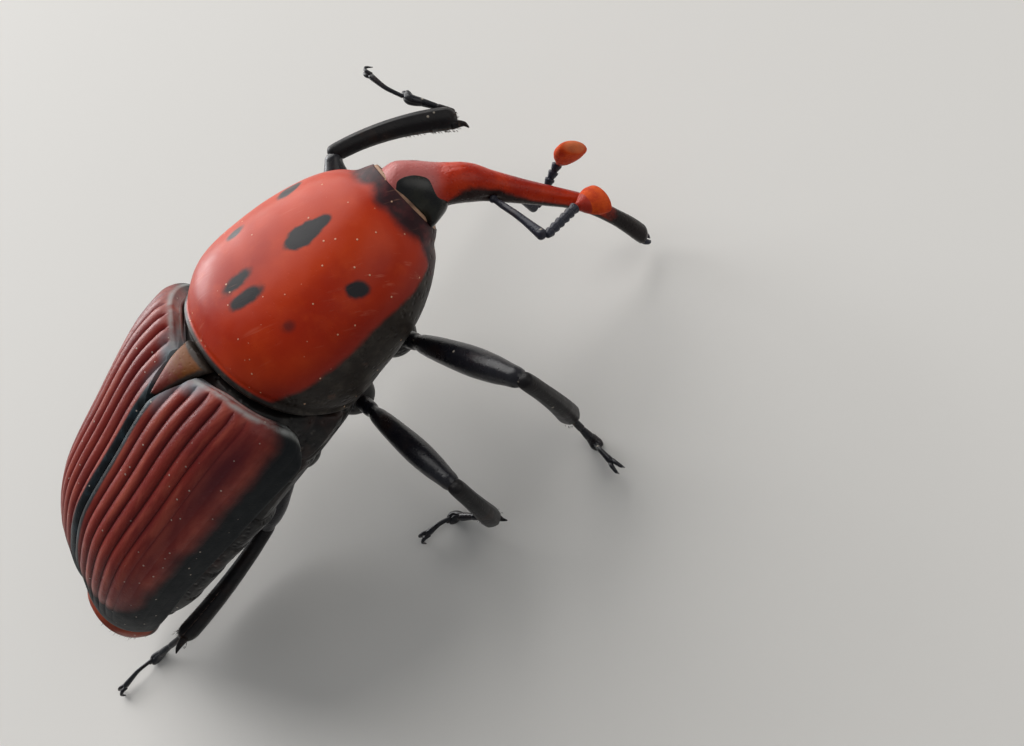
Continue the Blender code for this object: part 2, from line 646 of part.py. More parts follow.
set_on_body(loft("pronotum", pronotum_rings()), PRONOTUM_RED)
set_on_body(loft("thorax", thorax_rings()), BODY_BLACK)
set_on_body(loft("abdomen", abdomen_rings()), BODY_BLACK)
set_on_body(loft("pygidium", pygidium_rings()), TAIL_BROWN)
set_on_body(loft("scutellum", scutellum_rings()), SHIELD_BROWN)
for side_name, side_sign in (("right", -1), ("left", 1)):
    wing_case = plate("elytron_" + side_name, elytron_grid(side_sign, 0.0, True),
                      elytron_grid(side_sign, SHELL_THICKNESS, False))
    set_on_body(wing_case, ELYTRA_WINE)
make_head()
make_rostrum()
make_antenna("right", 1)
make_antenna("left", -1)
for leg_name in LEGS:
    make_leg(leg_name)
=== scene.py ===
# %% [markdown]
# # A red palm weevil, life size
#
# The beetle stands on a plain floor, with its long curved snout, its ribbed wing cases, its elbowed
# antennae and its hooked legs. Its body is a hard shell, so each plate is a clean curved surface with
# crisp grooves and rims, and the only hairs are short bristles on the shins and the tail.
#
# The solids of the beetle come first. They are true in size and place but plain, and every finer surface
# below is worked out from the same body profiles, so that it lands where its solid is.

# %% Load the solids
import bpy
import numpy as np
from mathutils import Matrix, Vector


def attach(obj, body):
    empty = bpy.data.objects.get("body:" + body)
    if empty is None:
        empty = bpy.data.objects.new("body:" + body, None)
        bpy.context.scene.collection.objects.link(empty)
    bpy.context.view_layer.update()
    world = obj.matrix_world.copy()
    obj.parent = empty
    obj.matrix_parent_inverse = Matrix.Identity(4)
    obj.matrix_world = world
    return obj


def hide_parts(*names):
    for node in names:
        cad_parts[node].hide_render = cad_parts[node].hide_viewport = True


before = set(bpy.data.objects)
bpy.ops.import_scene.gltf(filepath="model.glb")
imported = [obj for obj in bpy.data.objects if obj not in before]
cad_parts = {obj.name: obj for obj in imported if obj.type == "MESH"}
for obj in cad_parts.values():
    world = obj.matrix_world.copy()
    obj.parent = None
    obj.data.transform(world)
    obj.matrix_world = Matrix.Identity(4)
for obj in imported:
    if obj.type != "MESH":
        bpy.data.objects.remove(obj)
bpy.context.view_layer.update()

# %% [markdown]
# ## The beetle's own frame
#
# All shapes are written in millimetres in a frame that sits on the beetle's back: its origin is the middle
# of the rear edge of the pronotum, the big shield behind the head, +X is the beetle's left side, +Y its
# tail and +Z its back. The whole animal pitches a few degrees head up as it stands on its feet.

# %% From the beetle's frame to the floor's frame
MM = 0.001
PITCH = np.radians(6.0)
BACK_HEIGHT = 11.35
BOX_MIDDLE = (0.33, 1.63)
BODY_TURN = np.array([[1, 0, 0],
                      [0, np.cos(PITCH), np.sin(PITCH)],
                      [0, -np.sin(PITCH), np.cos(PITCH)]])
BODY_SHIFT = np.array([-BOX_MIDDLE[0], -BOX_MIDDLE[1], BACK_HEIGHT * np.cos(PITCH)])


def on_floor(points):
    """Millimetres on the beetle to metres above the floor: a turn about X, a shift, then another unit."""
    return (np.asarray(points, float) @ BODY_TURN.T + BODY_SHIFT) * MM


def unit(vectors):
    """Each vector divided by its own length."""
    vectors = np.asarray(vectors, float)
    return vectors / np.linalg.norm(vectors, axis=-1, keepdims=True)


def profile(stations, values):
    """A smooth curve through a few named stations. Between two stations it is a cubic, and its slope at a
    station is the weighted harmonic mean of the slopes on either side, so it never overshoots."""
    x = np.array(stations, float)
    y = np.array(values, float)
    step = np.diff(x)
    slope = np.diff(y) / step
    tangent = np.concatenate([slope[:1], np.zeros(len(x) - 2), slope[-1:]])
    before = 2 * step[1:] + step[:-1]
    after = step[1:] + 2 * step[:-1]
    with np.errstate(divide="ignore", invalid="ignore"):
        mean = (before + after) / (before / slope[:-1] + after / slope[1:])
    tangent[1:-1] = np.where(slope[:-1] * slope[1:] > 0, mean, 0)

    def value(at):
        at = np.asarray(at, float)
        i = np.clip(np.searchsorted(x, at) - 1, 0, len(step) - 1)
        s = np.clip((at - x[i]) / step[i], 0, 1)
        ends = y[i] * (1 + 2 * s) * (1 - s) ** 2 + y[i + 1] * s * s * (3 - 2 * s)
        return ends + step[i] * s * (1 - s) * (tangent[i] * (1 - s) - tangent[i + 1] * s)

    return value


def rise(low, high, values):
    """0 below low, 1 above high, and a smooth step between them."""
    s = np.clip((np.asarray(values, float) - low) / (high - low), 0, 1)
    return s * s * (3 - 2 * s)


def bump(middle, width, values):
    """A bell of height 1 round its middle."""
    return np.exp(-((np.asarray(values, float) - middle) / width) ** 2)


# %% [markdown]
# ## Skins from grids
#
# Nearly everything on a beetle is a closed skin round an axis: a plate, a limb, a bead of the antenna. So
# one helper turns a grid of rings into a mesh. Rows are rings along the axis, columns run round it, and a
# fan of triangles closes each end. The volume of the result tells whether the faces point outwards.

# %% A mesh from rings
def skin_parts(grid):
    """Points and corner numbers of a closed skin: four corners for each cell of the grid, three for each
    slice of the fans on its two ends."""
    rows, around = grid.shape[:2]
    points = np.vstack([grid.reshape(-1, 3), grid[:1].mean(1), grid[-1:].mean(1)])
    i, j = np.meshgrid(np.arange(rows - 1), np.arange(around), indexing="ij")
    k = (j + 1) % around
    quads = np.stack([i * around + j, i * around + k, (i + 1) * around + k, (i + 1) * around + j], -1)
    quads = quads.reshape(-1, 4)
    j = np.arange(around)
    k = (j + 1) % around
    middle = rows * around
    first = np.stack([np.full(around, middle), k, j], -1)
    last = np.stack([np.full(around, middle + 1), middle - around + j, middle - around + k], -1)
    fans = np.vstack([first, last])
    slices = np.vstack([quads[:, :3], quads[:, [0, 2, 3]], fans])
    a, b, c = (points[slices[:, n]] for n in range(3))
    if (np.cross(a, b) * c).sum() < 0:
        quads, fans = quads[:, ::-1], fans[:, ::-1]
    return points, quads, fans


def with_ends(values):
    """A value for each point of a skin, with the fans' middle points at the end."""
    values = np.asarray(values, float)
    return np.concatenate([values.ravel(), [values[0].mean(), values[-1].mean()]])


def add_object(name, data):
    """A new object in the scene, at the origin."""
    item = bpy.data.objects.new(name, data)
    bpy.context.scene.collection.objects.link(item)
    return item


def make_piece(name, grids, material, nodes, marks=None, soles=False):
    """One object from one or more closed skins, placed in the floor's frame. It rides on the root body and
    replaces the nodes that are named. Marks are values for each point, for the finish to read. With soles,
    whatever lies below the floor is pressed flat at its level."""
    points, faces, start = [], [], 0
    for grid in grids:
        part, quads, fans = skin_parts(np.asarray(grid, float))
        points.append(part)
        faces += (quads + start).tolist() + (fans + start).tolist()
        start += len(part)
    place = on_floor(np.vstack(points))
    if soles:
        place[:, 2] = np.maximum(place[:, 2], 0)
    mesh = bpy.data.meshes.new(name)
    mesh.from_pydata(place.tolist(), [], faces)
    for key, per_grid in (marks or {}).items():
        layer = mesh.attributes.new(key, "FLOAT", "POINT")
        values = np.concatenate([with_ends(values) for values in per_grid])
        layer.data.foreach_set("value", values.astype(np.float32))
    mesh.materials.append(material)
    mesh.shade_smooth()
    piece = add_object(name, mesh)
    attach(piece, "root")
    if nodes:
        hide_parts(*nodes)
    print(name, "points:", len(place), "height in mm:", round(float(np.ptp(place[:, 2])) / MM, 2))


# %% [markdown]
# ## Rings round a path
#
# Legs, antennae and the snout are rings carried along a bent path. Each ring needs two directions across
# the path: one comes from the path and an upward hint, the other stands square on both.

# %% Tubes with round ends
def eased(count):
    """Stations from 0 to 1 that crowd towards both ends, where a round end needs them."""
    return (1 - np.cos(np.linspace(0, np.pi, count))) / 2


def along_path(path, stations):
    """Points on a smooth curve through the path's own points, at shares of its length."""
    path = np.asarray(path, float)
    run = np.concatenate([[0], np.cumsum(np.linalg.norm(np.diff(path, axis=0), axis=1))])
    return np.stack([profile(run / run[-1], path[:, n])(stations) for n in range(3)], -1)


def round_ends(stations, first, last):
    """A factor for a limb's radius: a quarter of an ellipse over the first and the last share of it."""
    near = np.clip(stations / max(first, 1e-6), 0, 1)
    far = np.clip((1 - stations) / max(last, 1e-6), 0, 1)
    return np.sqrt(1 - (1 - near) ** 2) * np.sqrt(1 - (1 - far) ** 2)


def across_path(path, up):
    """Two directions across a path at each of its points, the second as near to up as it can be."""
    ahead = unit(np.gradient(path, axis=0))
    across = unit(np.cross(ahead, np.asarray(up, float)))
    return across, np.cross(across, ahead)


def tube(path, width, depth, up, around=40, form=None):
    """Rings along a path: point = path + across x width x cos(angle) + raised x depth x sin(angle), with
    form as an extra factor for each ring and angle."""
    path = np.asarray(path, float)
    across, raised = across_path(path, up)
    angle = np.linspace(0, 2 * np.pi, around, endpoint=False)
    factor = np.ones((len(path), around)) if form is None else form
    side = (np.broadcast_to(width, len(path))[:, None] * np.cos(angle) * factor)[..., None]
    back = (np.broadcast_to(depth, len(path))[:, None] * np.sin(angle) * factor)[..., None]
    return path[:, None] + across[:, None] * side + raised[:, None] * back


# %% [markdown]
# ## Shader pieces that several finishes share
#
# The shell of the beetle shows the same few things everywhere: tiny punctures, faint scratches, specks of
# pale dust, and a slow drift of colour. Each is a node group with named inputs and outputs, built once.
# Patterns are read from object coordinates, turned into the beetle's own millimetres by a Mapping node, so
# that a scale of 2 means two cells to each millimetre on every piece.

# %% Helpers for node trees
def fill(tree, node, values):
    """Sets the sockets of a node that are named, and links those whose value is another node's output."""
    for key, value in values.items():
        if isinstance(value, bpy.types.NodeSocket):
            tree.links.new(value, node.inputs[key])
        else:
            node.inputs[key].default_value = value
    return node


def put(tree, kind, values=None, **settings):
    """Adds a shader node, sets its options and fills its sockets."""
    node = tree.nodes.new("ShaderNode" + kind)
    for key, value in settings.items():
        setattr(node, key, value)
    return fill(tree, node, values or {})


def ramp(tree, value, low, high, to_low=0.0, to_high=1.0):
    """A smooth step of a value: to_low below low, to_high above high."""
    return put(tree, "MapRange", {"Value": value, "From Min": low, "From Max": high, "To Min": to_low,
                                  "To Max": to_high}, interpolation_type="SMOOTHSTEP").outputs["Result"]


def calc(tree, operation, first, second=0.0):
    """One Math node."""
    return put(tree, "Math", {0: first, 1: second}, operation=operation).outputs[0]


def times(tree, first, second):
    """The product of two values."""
    return calc(tree, "MULTIPLY", first, second)


def blend(tree, share, first, second):
    """The second colour over the first, by a share between 0 and 1."""
    under, over = ((*colour, 1) if isinstance(colour, tuple) else colour for colour in (first, second))
    return put(tree, "Mix", {0: share, 6: under, 7: over}, data_type="RGBA").outputs[2]


def mark(tree, name):
    """A value that the mesh carries at each of its points."""
    return put(tree, "Attribute", attribute_name=name).outputs["Fac"]


def noise(tree, place, scale, detail=4.0, roughness=0.55):
    """A soft noise between 0 and 1, with scale cells to each millimetre."""
    return put(tree, "TexNoise", {"Vector": place, "Scale": scale, "Detail": detail,
                                  "Roughness": roughness}).outputs["Fac"]


def swing(tree, place, scale, detail, size):
    """A noise that swings round 0, for edges that should not run straight."""
    return times(tree, calc(tree, "SUBTRACT", noise(tree, place, scale, detail), 0.5), size)


def new_group(name, inputs, outputs):
    """An empty node group with its sockets: name, socket kind and first value."""
    group = bpy.data.node_groups.new(name, "ShaderNodeTree")
    for label, kind, value in inputs:
        socket = group.interface.new_socket(label, in_out="INPUT", socket_type="NodeSocket" + kind)
        if value is not None:
            socket.default_value = value
    for label in outputs:
        group.interface.new_socket(label, in_out="OUTPUT", socket_type="NodeSocketFloat")
    start = group.nodes.new("NodeGroupInput")
    end = group.nodes.new("NodeGroupOutput")
    return group, start.outputs, end


def use(tree, group, values):
    """Places a node group in a material with its own values."""
    node = tree.nodes.new("ShaderNodeGroup")
    node.node_tree = group
    return fill(tree, node, values).outputs


# %% [markdown]
# ### Punctures
#
# A weevil's shell is pricked all over with fine round pits, close together on the black plates and sparse
# on the red shield. A Voronoi texture gives one random point to each cell; the distance to it, cut off at
# the pit's radius, is the pit.

# %% Group: punctures
PUNCTURES, take, give = new_group(
    "punctures", [("Place", "Vector", None), ("Per mm", "Float", 4.0), ("Radius", "Float", 0.3)],
    ["Height", "Mask"])
cells = put(PUNCTURES, "TexVoronoi", {"Vector": take["Place"], "Scale": take["Per mm"], "Randomness": 0.8})
pit = ramp(PUNCTURES, cells.outputs["Distance"], 0.0, take["Radius"], 1.0, 0.0)
fill(PUNCTURES, give, {"Mask": pit, "Height": times(PUNCTURES, pit, -1.0)})


def pits_in(tree, place, per_mm, radius):
    """The punctures of one finish."""
    return use(tree, PUNCTURES, {"Place": place, "Per mm": per_mm, "Radius": radius})


# %% [markdown]
# ### Dust
#
# Two kinds of dust lie on a beetle from a tree: single pale grains, and a thin grey film that gathers in
# grooves. The grains are Voronoi cells with a very small radius, of which only a share is kept, and the
# film is a soft noise.

# %% Group: dust
GRAIN_RADIUS = (0.05, 0.12)
DUST, take, give = new_group(
    "dust", [("Place", "Vector", None), ("Grains per mm", "Float", 1.6), ("Share", "Float", 0.4),
             ("Film", "Float", 0.1)],
    ["Grains", "Film"])
cells = put(DUST, "TexVoronoi", {"Vector": take["Place"], "Scale": take["Grains per mm"], "Randomness": 1.0})
near = ramp(DUST, cells.outputs["Distance"], *GRAIN_RADIUS, 1.0, 0.0)
chosen = put(DUST, "SeparateColor", {"Color": cells.outputs["Color"]}).outputs["Red"]
kept = calc(DUST, "LESS_THAN", chosen, take["Share"])
cloud = ramp(DUST, noise(DUST, take["Place"], 1.3, 6.0, 0.65), 0.45, 0.75)
fill(DUST, give, {"Grains": times(DUST, near, kept), "Film": times(DUST, cloud, take["Film"])})


def dust_on(tree, place, per_mm, share, film):
    """The dust of one finish."""
    return use(tree, DUST, {"Place": place, "Grains per mm": per_mm, "Share": share, "Film": film})


# %% [markdown]
# ### Scratches
#
# A smooth shell collects long faint scratches, mostly lengthwise. A noise that is stretched almost twenty
# times along one direction and cut near its top leaves such hairlines. On the shield they are painted pale,
# as a painted sheen of light caught in them.

# %% Group: scratches
SCRATCHES, take, give = new_group(
    "scratches", [("Place", "Vector", None), ("Turn", "Float", 0.3), ("Amount", "Float", 0.5)], ["Mask"])
turned = put(SCRATCHES, "VectorRotate", {"Vector": take["Place"], "Angle": take["Turn"]},
             rotation_type="Z_AXIS").outputs[0]
stretched = put(SCRATCHES, "VectorMath", {0: turned, 1: (5.0, 0.28, 1.2)}, operation="MULTIPLY").outputs[0]
fine = ramp(SCRATCHES, noise(SCRATCHES, stretched, 1.0, 3.0, 0.6), 0.6, 0.72)
fill(SCRATCHES, give, {"Mask": times(SCRATCHES, fine, take["Amount"])})

# %% [markdown]
# ### Spots
#
# The black spots of the shield are ovals seen from above, with slightly ragged edges. The group moves the
# place to the spot's middle, turns it, divides it by the spot's two half sizes, and compares the length
# of what is left with 1. A little noise on that length roughens the edge.

# %% Group: oval spot
SPOT, take, give = new_group(
    "oval spot", [("Place", "Vector", None), ("Middle", "Vector", None), ("Half size", "Vector", None),
                  ("Turn", "Float", 0.0), ("Softness", "Float", 0.15)], ["Mask"])
moved = put(SPOT, "VectorMath", {0: take["Place"], 1: take["Middle"]}, operation="SUBTRACT").outputs[0]
turned = put(SPOT, "VectorRotate", {"Vector": moved, "Angle": take["Turn"]},
             rotation_type="Z_AXIS").outputs[0]
flat = put(SPOT, "VectorMath", {0: turned, 1: (1.0, 1.0, 0.0)}, operation="MULTIPLY").outputs[0]
ratio = put(SPOT, "VectorMath", {0: flat, 1: take["Half size"]}, operation="DIVIDE").outputs[0]
away = put(SPOT, "VectorMath", {0: ratio}, operation="LENGTH").outputs["Value"]
wobble = ramp(SPOT, noise(SPOT, take["Place"], 2.2, 5.0, 0.5), 0.3, 0.7, -0.09, 0.09)
inner = calc(SPOT, "SUBTRACT", 1.0, take["Softness"])
fill(SPOT, give, {"Mask": ramp(SPOT, calc(SPOT, "ADD", away, wobble), inner, 1.08, 1.0, 0.0)})


def oval(tree, place, spot):
    """The mask of one spot, given by its middle, its half sizes, its turn and the softness of its edge."""
    names = ("Middle", "Half size", "Turn", "Softness")
    return use(tree, SPOT, {"Place": place, **dict(zip(names, spot))})["Mask"]


# %% [markdown]
# ## Starting and ending a finish
#
# Each finish is a Principled shader. Its constant values, such as the share of light that it mirrors, are
# set on the shader's own sockets; what changes over the surface comes from nodes. A finish is built up in
# layers, like paint: a ground colour first, then each darker or paler layer over it by a mask.

# %% Begin and end of a material
RELIEF = 0.02


def begin(name, **constants):
    """A new material: its node tree, its shader, and the place of each point in the beetle's millimetres."""
    material = bpy.data.materials.new(name)
    material.use_nodes = True
    tree = material.node_tree
    shader = tree.nodes["Principled BSDF"]
    for key, value in constants.items():
        shader.inputs[key.replace("_", " ")].default_value = value
    where = put(tree, "TexCoord").outputs["Object"]
    level = put(tree, "Mapping", {"Vector": where, "Location": tuple(-BODY_SHIFT * MM)},
                vector_type="POINT").outputs[0]
    place = put(tree, "Mapping", {"Vector": level, "Rotation": (PITCH, 0, 0), "Scale": (1 / MM,) * 3},
                vector_type="POINT").outputs[0]
    return material, tree, shader, place


def ground(tree, place, scale, detail, low, high, first, second):
    """The first layer of a finish: one colour that drifts into another, by a soft noise."""
    return blend(tree, ramp(tree, noise(tree, place, scale, detail), low, high), first, second)


def complete(tree, shader, colour, matt, heights):
    """Wires up a finish: its colour, its roughness, and one Bump node over the sum of its heights. A
    height is a pair of a value and the strength that it has, in units of RELIEF millimetres."""
    total = None
    for height, strength in heights:
        scaled = times(tree, height, strength)
        total = scaled if total is None else calc(tree, "ADD", total, scaled)
    bent = put(tree, "Bump", {"Height": total, "Distance": RELIEF * MM, "Strength": 1.0}).outputs["Normal"]
    fill(tree, shader, {"Base Color": colour, "Roughness": matt, "Normal": bent})


# %% [markdown]
# ### The red shield
#
# The pronotum is a glossy orange red, and painted shade deepens it towards its sides. It carries seven
# black spots: a long lens in the middle of its front half, a close pair behind it, and two on each side,
# of which the right rear one is faint. Its flanks and rear rim are black and its narrow collar is purple
# black. The mesh carries two distances for these edges: how far a point lies below the red's lower edge,
# and how far it lies ahead of the collar's groove.

# %% Material: red shield
SHIELD_SPOTS = [
    ((0.03, -6.30, 0), (0.56, 0.90, 1), 0.05, 0.22), ((0.02, -6.75, 0), (0.38, 0.86, 1), 0.05, 0.25),
    ((2.95, -6.7, 0), (0.42, 0.60, 1), 0.0, 0.3), ((-3.07, -6.33, 0), (0.35, 0.44, 1), 0.0, 0.4),
    ((0.31, -3.30, 0), (0.40, 0.84, 1), -0.1, 0.5), ((-0.6, -3.25, 0), (0.40, 0.88, 1), 0.1, 0.4),
    ((2.75, -4.15, 0), (0.3, 0.5, 1), 0.0, 0.5)]
FAINT_SPOT = ((-2.66, -3.72, 0), (0.30, 0.34, 1), 0.0, 0.8)


def shield_finish():
    """Red ground, painted shade towards the flanks, spots, black and purple edges, dust in the edges, a pale
    painted sheen on the scratches and a painted highlight on the lip.
    """
    material, tree, shader, place = begin("shield_red", Specular_IOR_Level=0.2)
    colour = ground(tree, place, 0.22, 3.0, 0.35, 0.65, (0.52, 0.040, 0.004), (0.38, 0.018, 0.002))
    blotches = noise(tree, place, 1.1, 5.0)
    colour = blend(tree, ramp(tree, blotches, 0.5, 0.8, 0.0, 0.35), colour, (0.62, 0.070, 0.010))
    flank = mark(tree, "flank")
    # Painted shade: the red darkens towards the flanks, where the shield turns away from the light.
    colour = blend(tree, ramp(tree, flank, -2.2, -0.1, 0.0, 0.75), colour, (0.20, 0.008, 0.004))
    ring = mark(tree, "collar")
    colour = blend(tree, ramp(tree, ring, -0.9, 0.1, 0.0, 0.5), colour, (0.34, 0.015, 0.007))
    spots = times(tree, oval(tree, place, FAINT_SPOT), 0.6)
    for spot in SHIELD_SPOTS:
        spots = calc(tree, "MAXIMUM", spots, oval(tree, place, spot))
    colour = blend(tree, spots, colour, (0.016, 0.015, 0.018))
    ragged = swing(tree, place, 1.2, 6.0, 0.5)
    black = ramp(tree, calc(tree, "ADD", flank, ragged), -0.2, 0.35)
    colour = blend(tree, black, colour, (0.014, 0.010, 0.008))
    purple = ramp(tree, calc(tree, "ADD", ring, ragged), -0.25, 0.2)
    collar_colour = ground(tree, place, 1.7, 5.0, 0.45, 0.75, (0.026, 0.006, 0.009), (0.100, 0.016, 0.018))
    colour = blend(tree, purple, colour, collar_colour)
    rim = ramp(tree, mark(tree, "rim"), 0.35, 0.75)
    colour = blend(tree, rim, colour, (0.010, 0.008, 0.008))
    dust = dust_on(tree, place, 2.3, 0.55, 0.4)
    sheltered = calc(tree, "MAXIMUM", times(tree, black, 0.35), times(tree, rim, 0.8))
    film = times(tree, calc(tree, "ADD", dust["Film"], 0.05), sheltered)
    colour = blend(tree, film, colour, (0.20, 0.17, 0.13))
    # Painted sheen: the scratches are real hairlines, but in patches they are painted pale, as light they
    # catch.
    scratches = use(tree, SCRATCHES, {"Place": place, "Turn": 0.35, "Amount": 0.16})["Mask"]
    scratch_sheen = times(tree, scratches, ramp(tree, noise(tree, place, 0.3), 0.4, 0.65))
    colour = blend(tree, scratch_sheen, colour, (0.75, 0.33, 0.22))
    colour = blend(tree, times(tree, dust["Grains"], 0.8), colour, (0.8, 0.5, 0.32))
    # Painted highlight: the front lip is painted pale, broken into patches by a noise.
    lip_highlight_breakup = ramp(tree, noise(tree, place, 1.3, 3.0), 0.3, 0.6, 0.35, 1.0)
    pale = times(tree, ramp(tree, mark(tree, "lip"), 0.4, 0.8), lip_highlight_breakup)
    colour = blend(tree, pale, colour, (0.42, 0.25, 0.16))
    rough = times(tree, calc(tree, "MAXIMUM", black, purple), 0.12)
    matt = calc(tree, "ADD", ramp(tree, noise(tree, place, 1.4), 0.3, 0.8, 0.30, 0.42), rough)
    coarse = times(tree, pits_in(tree, place, 3.2, 0.45)["Height"], black)
    complete(tree, shader, colour, matt, [
        (pits_in(tree, place, 5.0, 0.22)["Height"], 0.25), (noise(tree, place, 0.9), 0.6), (coarse, 1.6),
        (dust["Grains"], 0.8), (noise(tree, place, 9.0), 0.12)])
    return material


# %% [markdown]
# ### The wing cases
#
# The elytra are dark wine red, with a painted highlight along the crest of each rib and painted shade that
# makes the grooves nearly black. A black band runs along the seam between them, wider and blue grey with
# dust at the front, and black also covers their sides and tail. The mesh carries the depth of the grooves
# and the distances to both edges.

# %% Material: wing case
def wing_finish():
    """Wine ground, painted highlights on the crests, purple shoulder, painted shade in the grooves, black
    edges, bloom, dusty rim, grains.
    """
    material, tree, shader, place = begin("wing_case", Specular_IOR_Level=0.2)
    colour = ground(tree, place, 0.35, 4.0, 0.35, 0.65, (0.200, 0.015, 0.010), (0.150, 0.010, 0.010))
    valley = mark(tree, "valley")
    crest = ramp(tree, valley, 0.0, 0.5, 1.0, 0.0)
    # Painted highlight: the crest of each rib is lightened, in streaks along the ribs.
    lengthwise = put(tree, "Mapping", {"Vector": place, "Scale": (2.5, 0.5, 1.0)}).outputs[0]
    crest_highlight = times(tree, crest, ramp(tree, noise(tree, lengthwise, 1.0, 5.0), 0.35, 0.7, 0.15, 0.85))
    colour = blend(tree, crest_highlight, colour, (0.34, 0.066, 0.040))
    colour = blend(tree, times(tree, mark(tree, "shoulder"), 0.7), colour, (0.060, 0.010, 0.017))
    # Painted shade: the grooves are darkened nearly to black.
    colour = blend(tree, ramp(tree, valley, 0.4, 1.0, 0.0, 0.85), colour, (0.030, 0.003, 0.003))
    ragged = swing(tree, place, 0.8, 4.0, 0.7)
    black = ramp(tree, calc(tree, "ADD", mark(tree, "margin"), ragged), -0.55, 0.55)
    seam = ramp(tree, calc(tree, "ADD", mark(tree, "seam"), times(tree, ragged, 0.12)), -0.05, 0.1)
    colour = blend(tree, calc(tree, "MAXIMUM", black, seam), colour, (0.004, 0.006, 0.008))
    dust = dust_on(tree, place, 2.3, 0.55, 0.7)
    bloom = times(tree, mark(tree, "bloom"), ramp(tree, noise(tree, place, 1.0, 3.0), 0.2, 0.6))
    colour = blend(tree, times(tree, bloom, 0.8), colour, (0.25, 0.31, 0.34))
    film = times(tree, dust["Film"], times(tree, seam, 0.5))
    colour = blend(tree, film, colour, (0.05, 0.10, 0.13))
    rim = times(tree, mark(tree, "base_rim"), ramp(tree, noise(tree, place, 1.5, 3.0), 0.25, 0.6))
    colour = blend(tree, times(tree, rim, 0.8), colour, (0.34, 0.35, 0.34))
    colour = blend(tree, times(tree, dust["Grains"], 0.7), colour, (0.6, 0.5, 0.42))
    rough = times(tree, calc(tree, "MAXIMUM", bloom, black), 0.25)
    matt = calc(tree, "ADD", ramp(tree, noise(tree, place, 2.0), 0.3, 0.8, 0.34, 0.46), rough)
    complete(tree, shader, colour, matt, [
        (pits_in(tree, place, 5.0, 0.35)["Height"], 0.35), (noise(tree, place, 1.3, 5.0), 0.9),
        (dust["Grains"], 0.8), (noise(tree, place, 8.0), 0.25)])
    return material


# %% [markdown]
# ### The black parts
#
# Legs, flanks, belly and antennae are black chitin with a cool grey gloss. They differ only in gloss, in
# the density of their pits and in how much dust sits in them, so one function makes all of them.

# %% Material: black chitin
def black_finish(name, colour, gloss, pits_per_mm, pit_depth, film, tint=(0.05, 0.02, 0.015), shine=0.3):
    """Black with brownish clouds of the tint, pits that hold dust, and grains; gloss is the two values
    between which the roughness drifts."""
    material, tree, shader, place = begin(name, Specular_IOR_Level=shine)
    shade = blend(tree, ramp(tree, noise(tree, place, 0.8, 4.0), 0.5, 0.75, 0.0, 0.6), colour, tint)
    dust = dust_on(tree, place, 1.5, 0.3, film)
    pits = pits_in(tree, place, pits_per_mm, 0.42)
    in_pits = times(tree, dust["Film"], calc(tree, "ADD", pits["Mask"], 0.25))
    shade = blend(tree, in_pits, shade, (0.24, 0.21, 0.18))
    shade = blend(tree, times(tree, dust["Grains"], 0.6), shade, (0.5, 0.44, 0.36))
    matt = ramp(tree, noise(tree, place, 2.4), 0.3, 0.75, *gloss)
    complete(tree, shader, shade, matt, [
        (pits["Height"], pit_depth), (noise(tree, place, 6.0, 5.0), 0.2 * pit_depth),
        (noise(tree, place, 1.6), 0.4 * pit_depth), (dust["Grains"], 0.6)])
    return material


# %% [markdown]
# ### Head and snout
#
# Head and snout are one capsule. A painted highlight makes it pinkish red above the eyes; it is clear
# glossy red along the top of the snout, darkened underneath by painted shade, and black from three
# quarters of its length on.

# %% Material: head and snout
def snout_finish():
    """Red ground, painted pink highlight on the brow, painted shade on the underside, dark keel, black tip,
    grains of dust.
    """
    material, tree, shader, place = begin("snout_red", Specular_IOR_Level=0.2)
    colour = ground(tree, place, 0.7, 4.0, 0.35, 0.7, (0.52, 0.036, 0.005), (0.34, 0.014, 0.003))
    # Painted highlight: the top of the head behind the eyes is painted pink, where the light falls on it.
    colour = blend(tree, mark(tree, "brow"), colour, (0.44, 0.12, 0.11))
    # Painted shade: the underside of head and snout is painted nearly black, reaching highest round the
    # antenna pits.
    under = calc(tree, "ADD", mark(tree, "under"), swing(tree, place, 2.0, 4.0, 0.5))
    colour = blend(tree, ramp(tree, under, -0.12, 0.3), colour, (0.020, 0.008, 0.007))
    colour = blend(tree, times(tree, mark(tree, "crest"), 0.6), colour, (0.16, 0.016, 0.022))
    mouth = calc(tree, "ADD", mark(tree, "mouth"), swing(tree, place, 2.5, 4.0, 0.8))
    colour = blend(tree, ramp(tree, mouth, -0.5, 0.5), colour, (0.014, 0.010, 0.010))
    dust = dust_on(tree, place, 1.7, 0.25, 0.12)
    colour = blend(tree, times(tree, dust["Grains"], 0.6), colour, (0.7, 0.5, 0.35))
    matt = ramp(tree, noise(tree, place, 2.2), 0.3, 0.75, 0.24, 0.38)
    complete(tree, shader, colour, matt, [
        (pits_in(tree, place, 6.0, 0.4)["Height"], 0.6), (noise(tree, place, 5.0), 0.3),
        (noise(tree, place, 1.2), 0.5)])
    return material


# %% [markdown]
# ### Eyes, clubs, tail and small shield
#
# An eye is hundreds of tiny lenses under one glossy surface, so its bump is a fine Voronoi of domes. The
# antenna's club is velvety: its fibres catch light from the side, which sheen imitates. The tail plate and
# the scutellum are red brown, each with its own dark border.

# %% Material: eye
def eye_finish():
    """Near black, with a bump of 18 domes to each millimetre."""
    material, tree, shader, place = begin("eye_lenses", Specular_IOR_Level=0.4)
    colour = ground(tree, place, 0.9, 4.0, 0.35, 0.7, (0.008, 0.008, 0.008), (0.022, 0.022, 0.014))
    matt = ramp(tree, noise(tree, place, 2.0), 0.3, 0.7, 0.16, 0.26)
    lens = put(tree, "TexVoronoi", {"Vector": place, "Scale": 18.0, "Randomness": 0.35}).outputs["Distance"]
    complete(tree, shader, colour, matt, [(times(tree, lens, -1.0), 0.35)])
    return material


